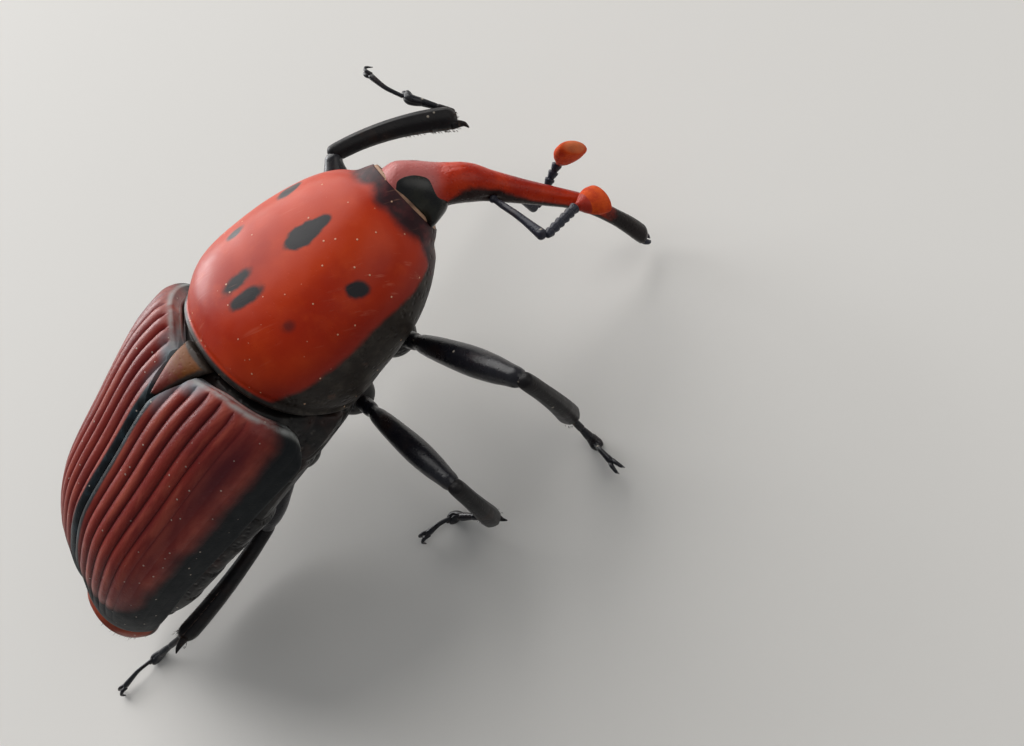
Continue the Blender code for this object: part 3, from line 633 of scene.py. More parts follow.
# %% Material: velvet club
def club_finish():
    """Matt orange, a smooth dark stem, a pale worn edge."""
    material, tree, shader, place = begin("club_velvet", Specular_IOR_Level=0.2, Sheen_Weight=0.1,
                                          Sheen_Tint=(1.0, 0.55, 0.35, 1))
    colour = ground(tree, place, 3.0, 5.0, 0.3, 0.7, (0.62, 0.070, 0.004), (0.46, 0.032, 0.003))
    stem = mark(tree, "stem")
    colour = blend(tree, ramp(tree, stem, 0.2, 0.8), colour, (0.36, 0.020, 0.008))
    edge = ramp(tree, mark(tree, "edge"), 0.55, 1.0, 0.0, 0.5)
    colour = blend(tree, edge, colour, (0.62, 0.22, 0.09))
    matt = ramp(tree, stem, 0.3, 0.7, 0.75, 0.35)
    fibres = pits_in(tree, place, 14.0, 0.5)
    complete(tree, shader, colour, matt, [(fibres["Height"], 0.5), (noise(tree, place, 8.0, 6.0), 0.7)])
    return material


# %% Material: red brown plates
def brown_finish(name, front, rear, gloss, edge=(0.020, 0.010, 0.010)):
    """One colour at the front, another at the rear, a dark border, a film of dust and some grains."""
    material, tree, shader, place = begin(name, Specular_IOR_Level=0.3)
    ragged = swing(tree, place, 2.2, 5.0, 0.9)
    colour = blend(tree, ramp(tree, calc(tree, "ADD", mark(tree, "rear"), ragged), 0.2, 0.6), front, rear)
    border = calc(tree, "ADD", mark(tree, "border"), times(tree, ragged, 0.6))
    colour = blend(tree, ramp(tree, border, 0.3, 0.8, 0.0, 0.95), colour, edge)
    dust = dust_on(tree, place, 1.8, 0.35, 0.3)
    colour = blend(tree, times(tree, dust["Film"], 0.3), colour, (0.42, 0.33, 0.24))
    colour = blend(tree, times(tree, dust["Grains"], 0.6), colour, (0.6, 0.5, 0.4))
    matt = ramp(tree, noise(tree, place, 2.4), 0.3, 0.75, *gloss)
    complete(tree, shader, colour, matt, [
        (pits_in(tree, place, 5.0, 0.4)["Height"], 0.5), (noise(tree, place, 1.5, 5.0), 1.2)])
    return material


# %% Make the finishes
SHIELD_RED = shield_finish()
WING_CASE = wing_finish()
SNOUT_RED = snout_finish()
EYE_LENSES = eye_finish()
CLUB_VELVET = club_finish()
LEG_TINT = (0.03, 0.013, 0.008)
LEG_BLACK = black_finish("leg_chitin", (0.009, 0.009, 0.013), (0.26, 0.34), 6.0, 0.3, 0.12, LEG_TINT, 0.4)
TIBIA_BLACK = black_finish("tibia_chitin", (0.009, 0.008, 0.009), (0.36, 0.46), 6.0, 0.4, 0.10, LEG_TINT,
                           0.18)
BODY_BLACK = black_finish("body_chitin", (0.009, 0.008, 0.008), (0.34, 0.5), 3.0, 1.8, 0.4)
ANTENNA_BLACK = black_finish("antenna_chitin", (0.022, 0.024, 0.038), (0.28, 0.42), 7.0, 0.8, 0.2)
TAIL_BROWN = brown_finish("tail_plate", (0.32, 0.044, 0.012), (0.20, 0.028, 0.010), (0.4, 0.55))
SMALL_SHIELD = brown_finish("small_shield", (0.17, 0.050, 0.003), (0.16, 0.020, 0.012), (0.5, 0.6),
                            (0.030, 0.024, 0.020))
BRISTLE = black_finish("bristle", (0.05, 0.022, 0.010), (0.4, 0.5), 4.0, 0.0, 0.0, (0.11, 0.05, 0.02))
print("finishes:", len(bpy.data.materials))


# %% [markdown]
# ## The body's cross-sections
#
# Pronotum, wing cases, thorax and belly share one kind of section: a superellipse, whose upper and lower
# halves meet at the widest level. Four curves along the body give its half width, back and belly.

# %% Sections and profiles
def section(angle, half, top, middle, bottom, upper=2.3, lower=2.2):
    """x = half cos^(2/p), z = middle + reach sin^(2/p), with the signs kept, where the power p and the
    reach differ above and below the widest level."""
    c, s = np.cos(angle), np.sin(angle)
    power = np.where(s > 0, upper, lower)
    reach = np.where(s > 0, top - middle, middle - bottom)
    x = half * np.sign(c) * np.abs(c) ** (2 / power)
    return x, middle + reach * np.sign(s) * np.abs(s) ** (2 / power)


def turns(count):
    """Angles in degrees right round a section, from the middle of its underside. The crown is at 90."""
    return np.linspace(-90, 270, count, endpoint=False)[None]


PRONOTUM_LENGTH, PRONOTUM_WIDTH, PRONOTUM_TURN = 9.95, 9.12, 0.02
ELYTRA_LENGTH, ELYTRA_WIDTH = 14.5, 10.72
REAR_CURVE, REAR_SLANT, COLLAR_SLANT = 0.03, 2.3, 0.7
GAP, SHELL, WIDEST = 0.3, 0.7, 0.45
pronotum_half = profile([0, .15, .3, .5, .7, .85, .93, 1],
                        [PRONOTUM_WIDTH / 2 * part for part in (.94, 1, 1, .96, .84, .665, .505, .405)])
pronotum_top = profile([0, .2, .4, .6, .8, .93, 1], [.06, .64, .15, -.52, -1.30, -2.12, -2.40])
pronotum_bottom = profile([0, .5, 1], [-6.65, -6.55, -5.9])
elytra_half = profile([0, .06, .3, .6, .8, .92, 1],
                      [ELYTRA_WIDTH / 2 * part for part in (.92, 1, .94, .84, .755, .63, .50)])
elytra_top = profile([0, .15, .4, .6, .8, .92, 1], [.45, .74, .34, -.06, -1.28, -2.65, -3.75])
belly = profile([0, .3, .6, .8, 1], [-6.9, -7.2, -7.35, -7.5, -7.6])

# %% [markdown]
# ## The shield behind the head
#
# The pronotum is one plate bent right round the body. Its path starts at the middle of the rear face, runs
# out to the rear rim, forward over the back, and folds in at the collar, where the head goes in. A rear
# bead with a groove before it, and a shallow groove behind the collar, are small offsets of the section.

# %% Pronotum
LIP = 0.13


def pronotum_stations():
    """For each ring: its share of the length, its shrink to the middle, its offset and its slide ahead."""
    face = np.linspace(0.06, 0.96, 12)
    turn = np.radians(np.linspace(0, 80, 7))
    body = np.linspace(LIP / PRONOTUM_LENGTH, 1 - LIP / PRONOTUM_LENGTH, 190)
    inside = np.linspace(0.97, 0.05, 10)
    share = np.concatenate([0 * face, 0 * turn, body, 0 * turn + 1, 0 * inside + 1])
    shrink = np.concatenate([face, 0 * turn + 1, 0 * body + 1, 0 * turn + 1, inside])
    offset = np.concatenate([0 * face - LIP, -LIP * (1 - np.sin(turn)), 0 * body,
                             -LIP * (1 - np.cos(turn)), 0 * inside - LIP])
    slide = np.concatenate([0 * face, LIP * (1 - np.cos(turn)), 0 * body, LIP * (np.sin(turn) - 1),
                            np.interp(inside, [0.05, 0.8, 0.86, 0.97], [-1.4, -1.3, -0.5, -0.06])])
    rear = share * PRONOTUM_LENGTH
    front = (1 - share) * PRONOTUM_LENGTH
    offset = offset + 0.05 * bump(0.16, 0.1, rear) - 0.06 * bump(0.42, 0.13, rear)
    offset = offset - 0.04 * rise(0.9, 0.0, front) - 0.08 * bump(0.85, 0.3, front)
    return share, shrink, offset, slide


def shape_pronotum():
    """Rings of the body's section, each shrunk to its middle by its own factor. The rear edge is curved
    and slants down ahead, the collar slants the other way, and the whole turns a little to the left."""
    share, shrink, offset, slide = (column[:, None] for column in pronotum_stations())
    degrees = turns(320)
    top, bottom = pronotum_top(share), pronotum_bottom(share)
    middle = top - 0.48 * (top - bottom)
    rounder = share ** 3
    x, z = section(np.radians(degrees), pronotum_half(share) + offset, top + offset, middle,
                   bottom - offset, 2.3 - 0.3 * rounder, 2.2 - 0.2 * rounder)
    x, z = x * shrink, middle + (z - middle) * shrink
    below = np.clip((top - z) / (top - bottom), 0, None)
    rear = (REAR_CURVE * x * x + REAR_SLANT * below ** 2) * (1 - share)
    y = -share * PRONOTUM_LENGTH - rear + COLLAR_SLANT * share ** 3 * below - slide
    grid = np.stack([x + PRONOTUM_TURN * share * PRONOTUM_LENGTH, y, z], -1)
    from_crown = np.abs(degrees - 90)
    red_end = profile([0, .07, .17, .32, .54, .7, .8, .9, 1], [50, 57, 69, 74, 78, 89, 97, 102, 101])(share)
    # flank sets both the black flanks and the painted shade on the red just above them.
    flank = (from_crown - red_end) * 0.085 + 0 * share
    front_end = np.interp(from_crown, [0, 15, 40, 80, 95, 110], [.935, .910, .907, .903, .87, .80])
    collar = (share - front_end) * PRONOTUM_LENGTH
    rim = bump(0.1, 0.28, share * PRONOTUM_LENGTH) + 0 * degrees
    # lip marks the front edge, where the finish paints a highlight.
    lip = bump(0.0, 0.04, (1 - share) * PRONOTUM_LENGTH) * (shrink > 0.97) * (offset > -0.22) + 0 * degrees
    marks = {"flank": [flank], "collar": [collar], "rim": [rim], "lip": [lip]}
    make_piece("shield", [grid], SHIELD_RED, ["pronotum"], marks)


shape_pronotum()

# %% [markdown]
# ## The wing cases
#
# Each elytron is a curved plate with thickness: an outer arc from the seam round to the side margin, a
# round edge, and an inner arc back. The ribs come from one wave, |sin|, raised to a small power so that
# its crests are broad and its valleys narrow, with a depth of its own for each groove: deep near the
# seam, faint towards the side.

# %% The skin's path round an elytron
GROOVE_SHARES = (.10, .195, .285, .382, .472, .556, .638, .72, .80, .88)
GROOVE_DEPTHS = (.9, 1.0, 1.0, 1.0, .8, .38, .14, .10, .12, .1)
GROOVE_DEEPEST = 0.17
MARGIN_ANGLE = -4.0
HUMERUS = 1.0
SCUTELLUM_LENGTH, SCUTELLUM_HALF = 2.5, 0.85
EDGE_ROUND = 0.35


def groove_wave(share):
    """How far each point lies below the crests: 1 - |sin|^0.6 of the way to each groove's middle, times
    the groove's own depth."""
    depth = np.zeros_like(share)
    spacing = np.diff((0.0,) + GROOVE_SHARES + (1.0,))
    for number, (middle, deep) in enumerate(zip(GROOVE_SHARES, GROOVE_DEPTHS)):
        reach = np.where(share < middle, spacing[number], spacing[number + 1]) / 2
        away = np.clip(np.abs(share - middle) / reach, 0, 1)
        depth = np.maximum(depth, deep * (1 - np.sin(away * np.pi / 2) ** 0.6))
    return depth


def elytron_columns(outer=250, edge=8, inner=40):
    """For each column, its share of the way from seam to margin and of the way through the plate: out
    along the outer face, round the margin's edge, back inside, and round the seam's edge."""
    half_turn = np.linspace(0, np.pi, edge)
    share = [np.linspace(0, 1, outer), np.ones(edge), np.linspace(1, 0, inner), np.zeros(edge)]
    thick = [np.zeros(outer), (1 - np.cos(half_turn)) / 2, np.ones(inner), (1 + np.cos(half_turn)) / 2]
    return np.concatenate(share)[None], np.concatenate(thick)[None]


def elytron_arc(u, share):
    """The body's section from the crown to the side margin, measured along its arc. For each ring and
    share it gives the arc's length up to there, x, z, the whole arc's length and the section's middle."""
    top, half = elytra_top(u), elytra_half(u)
    middle = top - WIDEST * (top - belly(u))
    dense = np.radians(np.linspace(90, MARGIN_ANGLE, 900))[None]
    x, z = section(dense, half, top, middle, belly(u), 2.6)
    steps = np.cumsum(np.hypot(np.diff(x), np.diff(z)), axis=1)
    run = np.concatenate([np.zeros((len(u), 1)), steps], 1)
    room = np.clip(1 - u * (ELYTRA_LENGTH - GAP) / SCUTELLUM_LENGTH, 0, 1)
    start = 0.03 + (SCUTELLUM_HALF + 0.1) * room[:, 0]
    rings = range(len(u))
    first = np.array([np.interp(start[i], x[i], run[i]) for i in rings])[:, None]
    at = first + (run[:, -1:] - first) * share
    px = np.array([np.interp(at[i], run[i], x[i]) for i in rings])
    pz = np.array([np.interp(at[i], run[i], z[i]) for i in rings])
    return at, px, pz, run[:, -1:], middle


# %% Elytra
RED_END = profile([0, .04, .1, .2, .39, .57, .67, .77, .84, .89],
                  [.69, .715, .741, .76, .738, .72, .70, .64, .45, 0])


def elytron_marks(u, at, whole, arc, sunk):
    """What the finish reads: the grooves, how far a point lies past the red's outer and rear end and
    inside the seam's band, the dusty bloom at the base, the purple shoulder and the base's pale rim."""
    margin = np.maximum((whole - RED_END(u)) * arc, (u - 0.82 - 0.09 * whole) * ELYTRA_LENGTH)
    seam = np.interp(u, [0, .12, .3, .6, .8, 1], [.50, .42, .38, .42, .5, .6]) - at
    bloom = rise(0.20, 0.08, u) * (1 - rise(0.35, 1.1, at)) + rise(0.07, 0.02, u) * (1 - rise(1.2, 2.2, at))
    shoulder = bump(0.62, 0.09, whole) * bump(0.16, 0.16, u)
    shoulder = shoulder + 0.6 * bump(0.6, 0.06, whole) * rise(0.1, 0.4, u)
    return {"valley": [sunk], "margin": [margin], "seam": [seam], "bloom": [bloom],
            "shoulder": [shoulder], "base_rim": [bump(0.006, 0.006, u) + 0 * at]}


def shape_elytron(name, side):
    """Each point of the arc moves towards the section's middle: by the grooves, by the rounding of all
    four edges, and by the plate's thickness on the inner face. The front edge follows the pronotum and
    curves back at the shoulder; the rear corner is cut off round."""
    u = np.concatenate([np.linspace(0, 0.02, 7)[:-1], np.linspace(0.02, 1, 224)])[:, None]
    share, thick = elytron_columns()
    at, px, pz, arc, middle = elytron_arc(u, share)
    whole = at / arc
    fade = rise(0.006, 0.03, u) * (1 - rise(0.86, 0.95, u)) * (1 - rise(0.93, 0.98, share)) * (1 - thick)
    sunk = groove_wave(whole) * fade
    seam_side, margin_side = np.clip(at / EDGE_ROUND, 0, 1), np.clip((arc - at) / EDGE_ROUND, 0, 1)
    front_side, rear_side = np.clip(u / 0.045, 0, 1), np.clip((1 - u) / 0.04, 0, 1)
    round_over = 0.12 * ((1 - seam_side) ** 2 + (1 - margin_side) ** 2 + (1 - rear_side) ** 2)
    round_over = round_over + 0.30 * (1 - front_side) ** 3
    sink = GROOVE_DEEPEST * sunk + round_over * (1 - thick) + thick * SHELL + 0.05 * bump(0.9, 0.1, u) * fade
    bend = 1 - sink / np.hypot(px, pz - middle)
    px, pz = px * bend, middle + (pz - middle) * bend
    front = REAR_CURVE * px ** 2 * (1 - u) ** 3
    front = front - HUMERUS * np.clip((share - 0.75) / 0.25, 0, 1) ** 2 * (1 - u) ** 4
    front = front - 0.45 * (1 - rise(0.6, 2.6, px)) * (1 - u) ** 4
    corner = rise(0.85, 1.0, u) * (0.6 * np.clip(1 - at / 1.1, 0, 1) ** 2 + 0.35 * rise(0.3, 1.0, share))
    y = u * (ELYTRA_LENGTH - GAP) + GAP - front - corner
    make_piece("wing_" + name, [np.stack([side * px, y, pz], -1)], WING_CASE,
               ["elytron_" + name], elytron_marks(u, at, whole, arc, sunk))


for side_name, side_sign in (("right", -1), ("left", 1)):
    shape_elytron(side_name, side_sign)

# %% [markdown]
# ## The small shield
#
# The scutellum is the little tongue between the bases of the wing cases. Its front half is orange brown,
# its tip is red brown, and it has a dark sunken border.

# %% Scutellum
def shape_scutellum():
    """A flat superellipse that narrows to the rear, sinks to the front and has a low ridge down its
    middle."""
    s = eased(60)[:, None]
    y = GAP - 0.18 + (SCUTELLUM_LENGTH - 0.1) * s
    half = ((SCUTELLUM_HALF + 0.16) * (1 - s) + 0.10 * s) * round_ends(s, 0.05, 0.12)
    top = elytra_top(y / ELYTRA_LENGTH) - 0.10 - 0.36 * (1 - np.clip(s / 0.45, 0, 1)) ** 2
    x, z = section(np.radians(turns(96)), half, top, top - 0.3, top - 0.7, 3.0, 2.6)
    z = z + 0.09 * (1 - np.clip(np.abs(x) / np.maximum(half, 0.01), 0, 1) ** 2) * (z > top - 0.3)
    grid = np.stack([x, y + 0 * x, z], -1)
    border = np.clip(np.abs(x) / np.maximum(half, 0.01), 0, 1) ** 4
    border = np.maximum(np.maximum(border, rise(0.9, 1.0, s) + 0 * x), 0.9 * rise(0.13, 0.03, s))
    make_piece("small_shield", [grid], SMALL_SHIELD, ["scutellum"],
               {"rear": [s + 0 * x], "border": [border]})


shape_scutellum()

# %% [markdown]
# ## Thorax and abdomen
#
# Under the wing cases the body is one black trunk. The middle and hind thorax carry the four rear legs and
# show side plates with fine seams between them; the belly is five plates, each lapping over the next. The
# seams are narrow valleys in the section's radius, along curves that are simple in angle and length.

# %% Trunk
THORAX_END, ABDOMEN_END = 4.8, 14.4
THORAX_WAIST, FLANK_INSET = 0.45, 0.4


def trunk_grid(share, degrees, y, inset, bottom, waist, offset):
    """The trunk's section at each ring: a superellipse inside the wing cases above, and flush with them
    below their margin, pushed in or out by an offset for each point."""
    u = np.clip(y / ELYTRA_LENGTH, 0, 1)
    top = elytra_top(u)
    middle = top - WIDEST * (top - belly(u))
    below = np.interp(np.abs(degrees - 90), [100, 110], [0, 1])
    half = elytra_half(u) - waist - inset + below * (SHELL + GAP - FLANK_INSET)
    x, z = section(np.radians(degrees), half + offset, top - inset + offset, middle, bottom - offset, 2.6)
    return x, z, top


def shape_thorax():
    """The trunk's front part. Its plates are parted by valleys: two along the flank, one across it and one
    along the middle of the underside."""
    s = np.linspace(0, 1, 120)[:, None]
    degrees = turns(300)
    y = GAP + (THORAX_END + 0.3 - GAP) * s + 0 * degrees
    away = np.abs(degrees - 90)
    seam_low = 118 + 6 * s
    seam_slant = 108 + 50 * np.clip(0.42 - s, 0, 1)
    seams = bump(seam_low, 2.0, away) + 0.8 * bump(seam_slant, 1.6, away) * (s < 0.5)
    seams = seams + 0.8 * bump(0.42 + 0.002 * (away - 110), 0.02, s) * (away > 104) * (away < 165)
    seams = seams + 1.2 * bump(180, 2.0, away)
    ends = np.minimum(np.clip(s / 0.04, 0, 1), np.clip((1 - s) / 0.04, 0, 1))
    offset = -0.09 * seams - 0.25 * (1 - ends) ** 2
    x, z, top = trunk_grid(s, degrees, y, SHELL + GAP, belly(y / ELYTRA_LENGTH), THORAX_WAIST * (1 - s),
                           offset)
    below = np.clip((top - z) / (top - belly(0)), 0, 1)
    y = y - (REAR_CURVE * x * x + REAR_SLANT * below ** 2) * (1 - s)
    make_piece("thorax_plates", [np.stack([x, y, z], -1)], BODY_BLACK, ["thorax"])


def shape_abdomen():
    """The trunk's rear part. On its underside each of the five plates stands out a little at its front and
    sinks towards the next, as a saw tooth of the length."""
    s = np.linspace(0, 1, 200)[:, None]
    degrees = turns(240)
    start = THORAX_END + 0.15
    y = start + (ABDOMEN_END - start) * s + 0 * degrees
    step = (s * 5) % 1
    lap = np.interp(step, [0, 0.03, 0.10, 0.9, 1.0], [0.0, 0.0, 0.17, 0.12, 0.10])
    under = rise(104, 116, np.abs(degrees - 90))
    inset = SHELL + GAP + 0.5 * rise(0.7 * ABDOMEN_END, ABDOMEN_END, y)
    x, z, _ = trunk_grid(s, degrees, y, inset, belly(y / ELYTRA_LENGTH), 0, lap * under)
    make_piece("belly_plates", [np.stack([x, y, z], -1)], BODY_BLACK, ["abdomen"])


shape_thorax()
shape_abdomen()

# %% [markdown]
# ## The tail plate
#
# The pygidium stays bare behind the wing cases. It slopes down to a blunt point, is red brown and coarsely
# pitted, and carries a fringe of short bristles.

# %% Pygidium
PYGIDIUM_END = 17.4


def pygidium_grid(s, degrees):
    """Points of the tail plate at shares of its length and angles round its axis."""
    stations = [13.6, 14.7, 15.4, 16.0, 16.7, 17.2, PYGIDIUM_END]
    y = stations[0] + (PYGIDIUM_END - stations[0]) * s
    half = profile(stations, [2.2, 2.35, 2.0, 1.35, .8, .45, .1])(y)
    top = profile(stations, [-4.7, -4.6, -4.5, -5.5, -6.5, -7.2, -8.0])(y)
    bottom = profile(stations, [-7.3, -7.6, -7.85, -8.0, -8.2, -8.3, -8.2])(y)
    x, z = section(np.radians(degrees), half, top, (top + bottom) / 2, bottom, 2.2)
    return np.stack([x, y + 0 * x, z], -1)


def shape_pygidium():
    """The whole plate as one skin, dark along its lower edge."""
    s = eased(90)[:, None]
    degrees = turns(140)
    away = np.abs(degrees - 90)
    make_piece("tail_plate", [pygidium_grid(s, degrees)], TAIL_BROWN, ["pygidium"],
               {"rear": [s + 0 * degrees], "border": [rise(80, 110, away) + 0 * s]})


shape_pygidium()

# %% [markdown]
# ## Head and snout
#
# The head is a small round capsule, half sunk in the collar, and runs on into the curved snout without a
# seam. The snout comes out of the head's upper half, so the back of both is one straight line. Two curves
# along the head's axis give the height of the middle and the radius; the eyes use the same two.

# %% Head directions and profiles
HEAD_MIDDLE = np.array([-0.3, -10.2, -4.1])
ROSTRUM_TIP = np.array([-5.13, -14.43, -12.01])
HEAD_BACK = np.array([-0.141, -0.835, 0.532])
HEAD_TO_TIP = float(np.linalg.norm(ROSTRUM_TIP - HEAD_MIDDLE))
HEAD_AHEAD = unit(ROSTRUM_TIP - HEAD_MIDDLE)
HEAD_RIGHT = unit(np.cross(HEAD_AHEAD, HEAD_BACK))
HEAD_UP = unit(np.cross(HEAD_RIGHT, HEAD_AHEAD))
NECK_AT, CAPSULE_AT = -2.2, -1.9
arch = profile([NECK_AT, -1.3, -0.3, .3, .9, 1.3, 1.8, 2.5, 3.3, 4.2, 5.2, 6.2, 7.0, 8.1, 9.0, HEAD_TO_TIP],
               [-.8, -.10, -.02, .1, .6, .8, .93, 1.0, 1.04, 1.09, 1.15, 1.2, 1.12, .85, .55, .05])
head_size = profile(
    [CAPSULE_AT, -1.3, -0.9, -0.2, .3, .9, 1.3, 1.8, 2.5, 3.3, 4.2, 5.2, 6.2, 7.0, 8.1, 9.0, 9.8,
     HEAD_TO_TIP],
    [.70, 1.02, 1.11, 1.19, 1.17, .92, .86, .79, .65, .57, .49, .425, .37, .36, .35, .38, .40, .37])


def head_point(ahead, up, right):
    """A place on the head, from its middle towards the mouth, the brow and the right."""
    parts = [np.asarray(part, float)[..., None] for part in (ahead, up, right)]
    return HEAD_MIDDLE + HEAD_AHEAD * parts[0] + HEAD_UP * parts[1] + HEAD_RIGHT * parts[2]


# %% Head and snout
TIP_ROUND, NECK_ROUND = 0.32, 0.3


def head_rings():
    """Places along the axis, closer together at both ends, and the radius of each: a quarter of a circle
    closes the neck and another one the tip."""
    quarter = np.linspace(0.05, np.pi / 2, 14)
    along = np.concatenate([NECK_AT + NECK_ROUND * (1 - np.cos(quarter))[:-1],
                            np.linspace(CAPSULE_AT, 2.2, 110)[:-1],
                            np.linspace(2.2, HEAD_TO_TIP - TIP_ROUND, 160)[:-1],
                            HEAD_TO_TIP - TIP_ROUND * (1 - np.sin(np.linspace(0, np.pi / 2, 14)))])
    radius = head_size(along)
    neck = np.clip((along - NECK_AT) / NECK_ROUND, 0.002, 1)
    radius = np.where(along < CAPSULE_AT, head_size(CAPSULE_AT) * np.sqrt(1 - (1 - neck) ** 2), radius)
    tip = np.clip((HEAD_TO_TIP - along) / TIP_ROUND, 0, 1)
    closed = np.sqrt(np.clip(1 - (1 - tip) ** 2, 0.0004, 1))
    return along[:, None], (radius * np.where(along > HEAD_TO_TIP - TIP_ROUND, closed, 1))[:, None]


def shape_head():
    """Circles along the arched axis, with a furrow between the eyes, a pit for each antenna, a keel along
    the snout's back and a slight flare of the tip as small changes of the radius."""
    a, radius = head_rings()
    angle = np.linspace(0, 2 * np.pi, 120, endpoint=False)[None]
    sideways, upward = np.cos(angle), np.sin(angle)
    groove = bump(0.9, 0.5, a) * bump(np.pi / 2, 0.1, angle)
    pit_height = bump(-0.1, 0.28, np.minimum(np.abs(upward + 0.15), 1)) * (np.abs(sideways) > 0.5)
    keel = bump(np.pi / 2, 0.16, angle) * rise(3.2, 4.5, a) * (1 - rise(8.0, 9.5, a))
    form = 1 - 0.02 * groove - 0.16 * bump(2.7, 0.45, a) * pit_height + 0.03 * keel
    size = radius * form * (1 + 0.08 * bump(9.5, 0.6, a) * np.abs(sideways))
    grid = head_point(a + 0 * angle, arch(a) + size * upward, size * sideways)
    # under and brow are read by the finish: painted shade on the underside, a painted highlight on the brow.
    under = np.interp(a, [0, .7, 1, 1.5, 2.9, 3.3, 4.2, 7, 9], [-.6, -.3, .15, .55, .65, .45, .1, .05, -.1])
    marks = {"brow": [rise(0.8, -0.1, a) * rise(-0.1, 0.5, upward)], "under": [under - upward],
             "crest": [bump(1.9, 0.35, angle) * rise(2.4, 4.0, a)], "mouth": [a - 7.8 + 0 * angle]}
    make_piece("head_and_snout", [grid], SNOUT_RED, ["head", "rostrum"], marks)


# %% [markdown]
# ### The eyes
#
# An eye is a large black bean that lies on the head's side and almost meets its fellow under the snout. A
# sphere would stand out too far, so it is a patch of the head's own surface, lifted by a low dome.

# %% Eyes
EYE_EDGE = [(1.05, -56), (.93, -22), (.56, 9), (.20, 35), (-.08, 57), (-.60, 61), (-1.02, 54), (-1.3, 40),
            (-1.2, 3), (-1.0, -42), (-.6, -74), (.1, -84), (.75, -76)]
EYE_MIDDLE = (-0.12, -14)
HEAD_ROLL = 12


def shape_eye(name, side):
    """A lens that hugs the head. Its edge is a closed curve through points given by their place along the
    head and their angle round it; rows run from the middle out to that edge, over a low dome, and back
    underneath. The head is rolled a little to its left."""
    out = np.concatenate([np.sin(np.linspace(0.03, np.pi / 2, 40)), np.linspace(0.97, 0.05, 12)])[:, None]
    under = (np.arange(len(out)) >= 40)[:, None]
    turn = np.linspace(0, 1, 120, endpoint=False)
    closed = np.array(EYE_EDGE[-3:] + EYE_EDGE + EYE_EDGE[:3], float)
    share = np.arange(-3, len(EYE_EDGE) + 3) / len(EYE_EDGE)
    edge = np.stack([profile(share, closed[:, n])(turn) for n in range(2)], -1)
    for _ in range(3):
        edge = (np.roll(edge, 2, 0) + edge * 2 + np.roll(edge, -2, 0)) / 4
    ahead = EYE_MIDDLE[0] + out * (edge[:, 0] - EYE_MIDDLE[0])
    degrees = EYE_MIDDLE[1] + out * (edge[:, 1] - EYE_MIDDLE[1])
    low = rise(20, -45, degrees) * rise(-0.1, 0.7, ahead)
    dome = (0.12 + 0.66 * low) * np.clip(1 - out ** 2, 0, 1) ** 0.5 - 0.03
    degrees = degrees + side * HEAD_ROLL
    reach = head_size(np.maximum(ahead, -1.4)) + np.where(under, -0.25, dome)
    up = arch(ahead) + reach * np.sin(np.radians(degrees))
    grid = head_point(ahead, up, side * reach * np.cos(np.radians(degrees)))
    make_piece("eye_lenses_" + name, [grid], EYE_LENSES, ["eye_" + name])


shape_head()
shape_eye("right", 1)
shape_eye("left", -1)

# %% [markdown]
# ## Mouthparts
#
# At the snout's tip sit two small blunt jaws, each a short curved cone, dark and shiny.

# %% Jaws
def taper(s, stations, radii, first, last):
    """The radius of a limb: a profile of its length, with round ends over its first and last share."""
    return profile(stations, radii)(s) * round_ends(s, first, last)


def shape_jaws():
    """Two cones that start inside the snout's tip and close in on each other."""
    s = eased(16)
    along = HEAD_TO_TIP + np.array([-0.25, -0.05, 0.12, 0.22])
    spread = np.array([0.17, 0.22, 0.18, 0.05])
    size = taper(s, [0, .5, 1], [.16, .14, .05], 0.2, 0.35)
    grids = []
    for side in (-1, 1):
        path = along_path(head_point(along, 0 * along - 0.02, side * spread), s)
        grids.append(tube(path, size, size * 0.8, HEAD_UP, 16))
    make_piece("jaws", grids, ANTENNA_BLACK, [])


shape_jaws()

# %% [markdown]
# ## Antennae
#
# Each antenna has a long first segment, the scape, that starts in a pit on the snout's side. At the elbow
# six small beads follow, and at the end a flat hatchet of orange velvet, broad at its far edge. The table
# gives three places for each: the elbow, the end of the beads, and a point that the club is turned to.

# %% Antennae
ANTENNAE = {
    "right": [(-5.42, -12.28, -5.47), (-4.75, -13.8, -6.75), (-4.75, -14.35, -7.4)],
    "left": [(-1.61, -12.29, -9.18), (-1.25, -14.4, -8.75), (-1.65, -15.0, -8.3)],
}
BEADS = 6
CLUB_LENGTH = 1.55


def shape_scape(name, side, elbow):
    """A thin limb with a knob at its root, in the snout's pit, and a thicker end at the elbow."""
    s = eased(60)
    root = head_point(2.65, arch(2.65) - 0.15, side * 0.52)
    middle = (root + elbow) / 2 + HEAD_UP * 0.06
    path = along_path([root, root * 0.9 + elbow * 0.1, middle, elbow], s)
    size = taper(s, [0, .04, .09, .2, .6, .85, .95, 1], [.15, .18, .12, .14, .16, .21, .23, .18], 0.03, 0.05)
    make_piece("scape_" + name, [tube(path, size, size, HEAD_UP, 28)], ANTENNA_BLACK,
               ["antenna_scape_" + name])


def shape_funicle(name, elbow, far_end):
    """Beads in a row. Each widens towards the club, and its root sits inside the bead before."""
    s = eased(22)
    start = elbow + unit(far_end - elbow) * 0.12
    way = far_end - start
    grids = []
    for bead in range(BEADS):
        first, last = start + way * (bead - 0.12) / BEADS, start + way * (bead + 1) / BEADS
        size = taper(s, [0, .35, .8, 1], [.13, .17, .21, .18], 0.12, 0.2) * (1 + 0.02 * bead)
        grids.append(tube(first + (last - first) * s[:, None], size, size, HEAD_UP, 22))
    make_piece("funicle_" + name, grids, ANTENNA_BLACK, ["antenna_funicle_" + name])


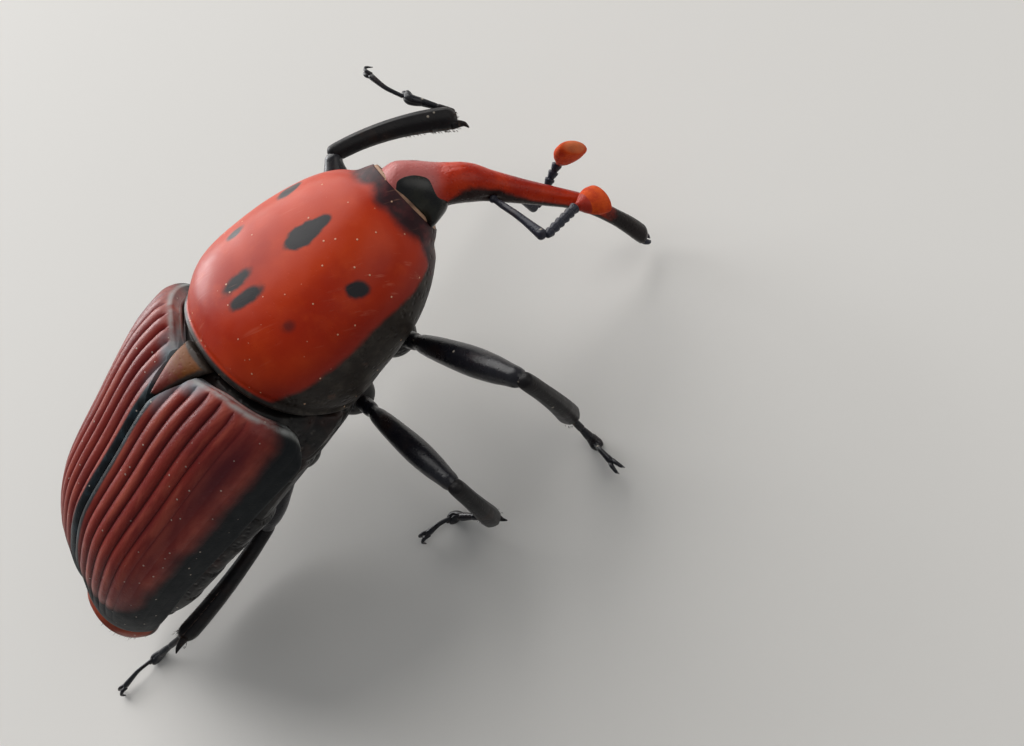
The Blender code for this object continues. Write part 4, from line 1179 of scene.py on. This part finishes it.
def shape_club(name, root, target):
    """A flat hatchet along a straight path: broad across, about half as thick, blunt at its far edge."""
    s = eased(70)
    ahead = unit(target - root)
    path = root + ahead * 0.02 + ahead * (CLUB_LENGTH * s)[:, None]
    width = taper(s, [0, .12, .3, .6, .85, 1], [.14, .24, .48, .69, .71, .55], 0.05, 0.2)
    depth = taper(s, [0, .12, .3, .6, .85, 1], [.15, .24, .34, .38, .34, .28], 0.05, 0.14)
    around = 48
    stem = rise(0.34, 0.26, s)[:, None] + np.zeros(around)
    edge = rise(0.75, 1.0, s)[:, None] + np.zeros(around)
    make_piece("club_" + name, [tube(path, width, depth, HEAD_UP, around)], CLUB_VELVET,
               ["antenna_club_" + name], {"stem": [stem], "edge": [edge]})


for side_name, side_sign in (("right", 1), ("left", -1)):
    elbow_at, funicle_end, club_target = (np.array(p) for p in ANTENNAE[side_name])
    shape_scape(side_name, side_sign, elbow_at)
    shape_funicle(side_name, elbow_at, funicle_end)
    shape_club(side_name, funicle_end, club_target)

# %% [markdown]
# ## Legs
#
# A leg hangs on a round coxa in the body's underside. A small trochanter leads into the clubbed femur. The
# tibia is slender, slightly bowed and edged with fine keels, and ends square, with a strong hook. The foot
# has two short segments, a broad one with two lobes, and a long one with a pair of claws. Five feet stand
# on the floor, so their soles are pressed flat at its level; the left front foot is lifted. The table
# gives five places for each leg: coxa, knee, ankle, the pad between the lobes, and the root of the claws.

# %% Where the legs are
LEGS = {
    "front_right": [(-1.5, -4.2, -7.12), (-9.2, -8.0, -5.0), (-8.95, -6.95, -10.3),
                    (-10.05, -6.62, -11.8), (-11.5, -6.75, -11.35)],
    "middle_right": [(-1.8, -0.9, -7.2), (-9.5, -2.7, -6.0), (-9.4, -1.2, -10.4),
                     (-7.8, 0.5, -11.05), (-7.55, 1.95, -10.75)],
    "hind_right": [(-1.4, 3.0, -7.4), (-1.7, 7.8, -8.9), (-2.4, 15.2, -8.5),
                   (-1.4, 17.95, -9.25), (-1.35, 20.3, -8.9)],
    "front_left": [(1.5, -4.2, -7.15), (6.2, -8.05, -5.4), (5.1, -12.6, -9.0),
                   (7.3, -11.83, -7.95), (9.4, -11.43, -7.2)],
    "middle_left": [(1.8, -0.9, -7.2), (8.9, -1.4, -6.2), (10.6, 0.6, -9.9),
                    (11.7, 2.6, -10.83), (12.2, 4.6, -10.5)],
    "hind_left": [(1.6, 3.0, -7.5), (8.4, 6.0, -5.9), (9.8, 12.0, -8.9),
                  (10.6, 14.4, -9.6), (11.2, 16.5, -9.25)],
}
COXA_RADIUS = {"front": 1.05, "middle": 1.0, "hind": 0.95}
FEMUR_SIZE = {"front": 1.0, "middle": 0.9, "hind": 1.0}
LIFTED_LEG = "front_left"
FLOOR_UP = np.array([0, -np.sin(PITCH), np.cos(PITCH)])
LIFTED_UP = unit(np.array([0.3, 0.6, 0.74]))


def bowed(a, b, bow, stations):
    """Points from a to b on an arc that stands out by the given vector in its middle."""
    s = stations[:, None]
    return a * (1 - s) + b * s + bow * (4 * s * (1 - s))


def ball(middle, radius, count=40):
    """A sphere as rings between its poles."""
    latitude = np.radians(np.linspace(-88, 88, count))[:, None]
    longitude = np.linspace(0, 2 * np.pi, 2 * count, endpoint=False)[None]
    flat = np.cos(latitude)
    parts = [flat * np.cos(longitude), flat * np.sin(longitude), np.sin(latitude) + 0 * longitude]
    return np.asarray(middle) + radius * np.stack(parts, -1)


# %% [markdown]
# ### Bristles
#
# Particle hair would not survive the export, so each bristle is a thin three-sided spike of seven points.
# All bristles of a limb are one mesh, worked out as whole arrays. Their map, OFBake, gives each spike a
# tiny patch at its root's place, so that a baked picture colours it like the skin that it grows from.

# %% Bristles
PATCH = 0.003


def bristles(name, roots, directions, lengths, thickness, places):
    """Spikes from their roots: a ring of three points, a thinner ring a little past the middle, and a tip
    that is bent aside by a quarter. Each patch of the map is PATCH across, at the given place."""
    count = len(roots)
    ahead = unit(directions)
    sideways = unit(np.cross(ahead, np.array([0.31, 0.52, 0.79])))
    raised = np.cross(sideways, ahead)
    angle = np.radians([90, 210, 330])
    ring = sideways[:, None] * np.cos(angle)[None, :, None] + raised[:, None] * np.sin(angle)[None, :, None]
    length = np.asarray(lengths)[:, None]
    half = roots + ahead * length * 0.55
    tip = roots + unit(ahead + raised * 0.25) * length
    points = np.concatenate([roots[:, None] + ring * thickness, half[:, None] + ring * thickness * 0.6,
                             tip[:, None]], 1)
    sides = [(0, 1, 4, 3), (1, 2, 5, 4), (2, 0, 3, 5)]
    ends = [(3, 4, 6), (4, 5, 6), (5, 3, 6), (2, 1, 0)]
    offset = (np.arange(count) * 7)[:, None]
    faces = []
    for face in sides + ends:
        faces += (offset + np.array(face)[None]).tolist()
    mesh = bpy.data.meshes.new(name)
    mesh.from_pydata(on_floor(points.reshape(-1, 3)).tolist(), [], faces)
    patch = np.array([(-1, -1), (1, -1), (0, 1), (-.6, -.6), (.6, -.6), (0, .6), (0, 0)]) * (PATCH / 2)
    unwrap = (np.asarray(places)[:, None] + patch[None]).reshape(-1, 2)
    layer = mesh.uv_layers.new(name="OFBake")
    corners = np.empty(len(mesh.loops), np.int32)
    mesh.loops.foreach_get("vertex_index", corners)
    layer.data.foreach_set("uv", unwrap[corners].astype(np.float32).ravel())
    mesh.materials.append(BRISTLE)
    piece = add_object(name, mesh)
    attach(piece, "root")
    print(name, "bristles:", count)


# %% Thigh and shin
def shape_femur(name, coxa, knee, ankle, radius):
    """A club, thickest at two thirds of its length, behind the small trochanter at its root. Its underside
    is hollow at the knee, where the tibia folds in. The knee's hinge is handed on to the tibia."""
    s = eased(110)
    ahead = unit(knee - coxa)
    hinge = unit(np.cross(ahead, ankle - knee))
    up = np.cross(hinge, ahead)
    outward = up if up[2] > 0 else -up
    path = bowed(coxa + ahead * (radius * 0.75), knee + ahead * 0.12, outward * 0.18, s)
    size = taper(s, [0, .05, .12, .16, .22, .42, .63, .78, .90, 1],
                 [.36, .43, .42, .37, .46, .60, .67, .61, .49, .42], 0.03, 0.07)
    size = size * FEMUR_SIZE[name.split("_")[0]]
    angle = np.linspace(0, 2 * np.pi, 56, endpoint=False)[None]
    under = bump(0.93, 0.06, s)[:, None] * rise(0.1, 0.8, -np.sin(angle))
    collar = bump(0.155, 0.018, s)[:, None]
    grid = tube(path, size * 0.92, size, outward, 56, 1 - 0.25 * under - 0.10 * collar)
    make_piece("femur_" + name + "_shell", [grid], LEG_BLACK, ["femur_" + name])
    return hinge


def tibia_directions(coxa, knee, ankle, pad, hinge):
    """Down the tibia, out of its back, and to the side of its end that faces away from the foot."""
    down = unit(ankle - knee)
    back = np.cross(hinge, down)
    if back @ (coxa - knee) > 0:
        back = -back
    foot = pad - ankle
    return down, back, -unit(foot - down * (foot @ down))


def shape_tibia(name, knee, ankle, hinge, down, back, outer):
    """A bowed shaft with five fine keels, a strong hook at its outer corner and a small spur inside."""
    s = eased(110)
    path = bowed(knee - down * 0.3, ankle + down * 0.1, back * 0.35, s)
    size = taper(s, [0, .08, .15, .3, .5, .85, .95, 1], [.36, .41, .42, .44, .48, .55, .56, .48], 0.04, 0.10)
    angle = np.linspace(0, 2 * np.pi, 64, endpoint=False)[None]
    keels = sum(bump(turn, 0.16, angle) for turn in np.radians([35, 90, 145, 235, 305]))
    strength = (rise(0.12, 0.25, s) * (1 - rise(0.9, 0.97, s)))[:, None]
    shaft = tube(path, size * 0.86, size, back, 64, 1 + 0.05 * (keels - 0.5) * strength)
    s = eased(40)
    root = ankle - down * 0.4 + outer * 0.28
    path = along_path([root, root + down * 0.45 + outer * 0.06, root + down * 0.7 + outer * 0.2,
                       root + down * 0.8 + outer * 0.45], s)
    size = taper(s, [0, .3, .7, 1], [.24, .20, .11, .025], 0.1, 0.06)
    hook = tube(path, size, size, hinge, 24)
    s = eased(20)
    root = ankle - down * 0.25 - outer * 0.3
    path = along_path([root, root + down * 0.28, root + down * 0.45 - outer * 0.05], s)
    size = taper(s, [0, .5, 1], [.16, .12, .03], 0.1, 0.1)
    spur = tube(path, size, size, hinge, 16)
    make_piece("tibia_" + name + "_shell", [shaft, hook, spur], TIBIA_BLACK, ["tibia_" + name])


# %% Bristles of a shin
ROW_BRISTLES, APEX_BRISTLES = 110, 44


def tibia_bristles(name, knee, ankle, down, back, outer):
    """Two rows along the shin's inner face, closer together towards its end, and a wreath round the end."""
    rng = np.random.default_rng(sum(map(ord, name)))
    at = rng.uniform(0.3, 0.99, ROW_BRISTLES) ** 0.5
    row = rng.choice([-1, 1], ROW_BRISTLES)
    side = np.cross(down, back)
    reach = profile([0, .5, .85, 1], [.40, .46, .56, .6])(at)
    place = bowed(knee + down * 0.15, ankle, back * 0.3, at)
    roots = place - back * (reach * 0.86)[:, None] + side * (row * reach * 0.35)[:, None]
    jitter = rng.normal(0, 0.14, (ROW_BRISTLES, 3))
    lean = unit(down * 0.75 - back * 0.75 + side * (row * 0.3)[:, None] + jitter)
    apex = rng.uniform(0, 2 * np.pi, APEX_BRISTLES)
    cosine, sine = np.cos(apex)[:, None], np.sin(apex)[:, None]
    apex_roots = ankle - down * 0.06 + outer * 0.5 * cosine + side * 0.42 * sine
    apex_lean = unit(down + (outer * cosine + side * sine) * 0.35)
    lengths = rng.uniform(0.08, 0.18, ROW_BRISTLES + APEX_BRISTLES)
    places = np.stack([0.05 + 0.9 * np.concatenate([at, 0 * apex + 1]),
                       0.05 + 0.9 * np.concatenate([0.25 + 0.1 * row, apex / (2 * np.pi)])], -1)
    bristles("bristles_" + name, np.vstack([roots, apex_roots]), np.vstack([lean, apex_lean]), lengths,
             0.013, places)


# %% Foot
def foot_segments(start, way, first_at, up):
    """Two short segments, each wider at its far end, which reaches into the next."""
    s = eased(26)
    grids = []
    for first, last, wide in ((first_at, 0.42, 0.17), (0.30, 0.80, 0.20)):
        size = taper(s, [0, .3, .85, 1], [.13, .16, wide, wide * 0.8], 0.1, 0.12)
        grids.append(tube(start + way * (first + (last - first) * s[:, None]), size, size * 0.85, up, 28))
    return grids


def foot_lobes(pad, way, across, flat, up):
    """Two lobes side by side, and a bead on top of them where the last segment is rooted."""
    s = eased(40)
    grids = []
    for half in (-1, 1):
        path = along_path([pad - way * 0.36 + across * 0.03 * half, pad - flat * 0.05 + across * 0.08 * half,
                           pad + flat * 0.36 + across * 0.15 * half], s) - up * 0.05
        size = taper(s, [0, .3, .7, 1], [.12, .20, .22, .16], 0.1, 0.25)
        grids.append(tube(path, size * 0.85, size * 1.05, up, 36))
    size = 0.13 * round_ends(s, .3, .3)
    return grids + [tube(pad + flat * (0.1 + 0.35 * s)[:, None] + up * 0.08, size, size, up, 20)]


def foot_claws(pad, toe, forward, across, up):
    """The long last segment in a low arch, and a claw on each side of its end, bent down like a hook."""
    s = eased(40)
    path = along_path([pad + forward * 0.1 + up * 0.1, pad + (toe - pad) * 0.5 + up * 0.25, toe + up * 0.05],
                      s)
    size = taper(s, [0, .2, .6, .9, 1], [.10, .10, .12, .15, .13], 0.05, 0.1)
    grids = [tube(path, size, size, up, 28)]
    for half in (-1, 1):
        root = toe + across * 0.06 * half - forward * 0.12
        path = along_path([root, root + forward * 0.30 + across * 0.06 * half + up * 0.07,
                           root + forward * 0.54 + across * 0.10 * half - up * 0.08,
                           root + forward * 0.56 + across * 0.12 * half - up * 0.48], s)
        size = taper(s, [0, .3, .7, 1], [.11, .095, .06, .015], 0.06, 0.05)
        grids.append(tube(path, size, size, up, 20))
    return grids


def shape_foot(name, ankle, knee, pad, toe):
    """All segments of a foot as one piece. A foot on the floor has its soles pressed flat at its level."""
    on_ground = name != LIFTED_LEG
    up = FLOOR_UP if on_ground else LIFTED_UP
    down = unit(ankle - knee)
    ahead = unit(pad - ankle)
    aside = unit(ahead - down * (ahead @ down))
    start = ankle + down * 0.2 + aside * 0.3
    way = pad - start
    forward = unit(toe - pad)
    across = unit(np.cross(forward, up))
    grids = foot_segments(start, way, -0.15 if on_ground else 0.04, up)
    grids += foot_lobes(pad, way, across, np.cross(up, across), up)
    grids += foot_claws(pad, toe, forward, across, up)
    make_piece("foot_" + name, grids, LEG_BLACK, ["tarsus_" + name], soles=on_ground)


# %% Build the legs
for leg, points in LEGS.items():
    coxa_at, knee_at, ankle_at, pad_at, toe_at = (np.array(p) for p in points)
    coxa_size = COXA_RADIUS[leg.split("_")[0]]
    make_piece("coxa_" + leg + "_shell", [ball(coxa_at, coxa_size)], BODY_BLACK,
               ["coxa_" + leg])
    knee_hinge = shape_femur(leg, coxa_at, knee_at, ankle_at, coxa_size)
    directions = tibia_directions(coxa_at, knee_at, ankle_at, pad_at, knee_hinge)
    shape_tibia(leg, knee_at, ankle_at, knee_hinge, *directions)
    tibia_bristles(leg, knee_at, ankle_at, *directions)
    shape_foot(leg, ankle_at, knee_at, pad_at, toe_at)

# %% [markdown]
# ## Bristles of the tail
#
# A short fringe stands round the rear half and the tip of the tail plate, away from the middle of its
# back. The roots are points of the plate's own surface, drawn at random.

# %% Tail bristles
TAIL_BRISTLES = 150
tail_rng = np.random.default_rng(41)
tail_s = tail_rng.uniform(0.45, 0.99, TAIL_BRISTLES)
tail_degrees = tail_rng.choice([-1, 1], TAIL_BRISTLES) * tail_rng.uniform(25, 120, TAIL_BRISTLES) + 90
tail_roots = pygidium_grid(tail_s, tail_degrees)
tail_out = unit(tail_roots - np.stack([0 * tail_s, tail_roots[:, 1] - 0.4, 0 * tail_s - 7.2], -1))
tail_lean = unit(tail_out * 0.7 + np.array([0, 1.0, -0.2]) + tail_rng.normal(0, 0.15, (TAIL_BRISTLES, 3)))
tail_lengths = tail_rng.uniform(0.12, 0.26, TAIL_BRISTLES)
tail_places = np.stack([0.05 + 0.9 * tail_s, 0.05 + 0.9 * (tail_degrees + 90) / 360], -1)
bristles("bristles_tail", tail_roots, tail_lean, tail_lengths, 0.012, tail_places)

# %% [markdown]
# ## Floor, light and camera
#
# A pale floor takes soft shadows. One large lamp beyond the beetle's left side stands for an open sky, a
# weaker warm one ahead of the snout fills the near side, and a small low one from the left rear draws a
# line of light on the black parts. The camera looks down on the back from ahead of the right shoulder, as a
# visitor leaning over would.

# %% Floor
FLOOR_HALF = 1.2


def make_floor():
    """One large square with a plain matt finish. It is part of the stage, not of the beetle."""
    mesh = bpy.data.meshes.new("floor")
    corners = [(-1, -1), (1, -1), (1, 1), (-1, 1)]
    mesh.from_pydata([(x * FLOOR_HALF, y * FLOOR_HALF, 0) for x, y in corners], [], [(0, 1, 2, 3)])
    floor = add_object("floor", mesh)
    material = bpy.data.materials.new("floor_pale")
    material.use_nodes = True
    shader = material.node_tree.nodes["Principled BSDF"]
    shader.inputs["Base Color"].default_value = (0.74, 0.72, 0.69, 1)
    shader.inputs["Roughness"].default_value = 0.8
    mesh.materials.append(material)


make_floor()

# %% Lamps and sky
BODY_AT = Vector((0.0, 0.0, 0.007))


def make_light(name, place, size, power, colour):
    """A round area lamp, turned so that its -Z looks at the middle of the body."""
    data = bpy.data.lights.new(name, "AREA")
    data.shape = "DISK"
    data.size = size
    data.energy = power
    data.color = colour
    lamp = add_object(name, data)
    lamp.location = place
    lamp.rotation_euler = (BODY_AT - lamp.location).to_track_quat("-Z", "Y").to_euler()
    print("lamp", name, "power:", power)


make_light("sky", (0.60, -0.10, 0.30), 0.85, 6.5, (1.0, 0.99, 0.97))
make_light("fill", (-0.20, -0.50, 0.42), 0.60, 0.9, (1.0, 0.97, 0.92))
make_light("rear", (0.62, 0.24, 0.17), 0.35, 2.2, (0.97, 0.98, 1.0))
bpy.context.scene.view_settings.view_transform = "Standard"
world = bpy.data.worlds.new("room")
bpy.context.scene.world = world
world.use_nodes = True
world.node_tree.nodes["Background"].inputs["Color"].default_value = (0.80, 0.84, 0.88, 1)
world.node_tree.nodes["Background"].inputs["Strength"].default_value = 0.25

# %% Camera
CAMERA_AT = np.array([-26.975, -17.269, 26.661])
CAMERA_RIGHT = np.array([-0.5671, -0.6392, -0.5195])
CAMERA_DOWN = np.array([-0.6651, 0.7274, -0.169])


def make_camera():
    """A camera from its place and the picture's two directions, both known in the beetle's own frame."""
    right = unit(BODY_TURN @ CAMERA_RIGHT)
    down = BODY_TURN @ CAMERA_DOWN
    down = unit(down - right * (down @ right))
    ahead = np.cross(right, down)
    turn = Matrix(np.stack([right, -down, -ahead], 1).tolist()).to_4x4()
    turn.translation = on_floor(CAMERA_AT).tolist()
    data = bpy.data.cameras.new("camera")
    data.sensor_width = 36
    data.lens = 35
    data.clip_start = 0.001
    camera = add_object("camera", data)
    camera.matrix_world = turn
    bpy.context.scene.camera = camera
    print("camera at", [round(c, 4) for c in camera.location])


make_camera()
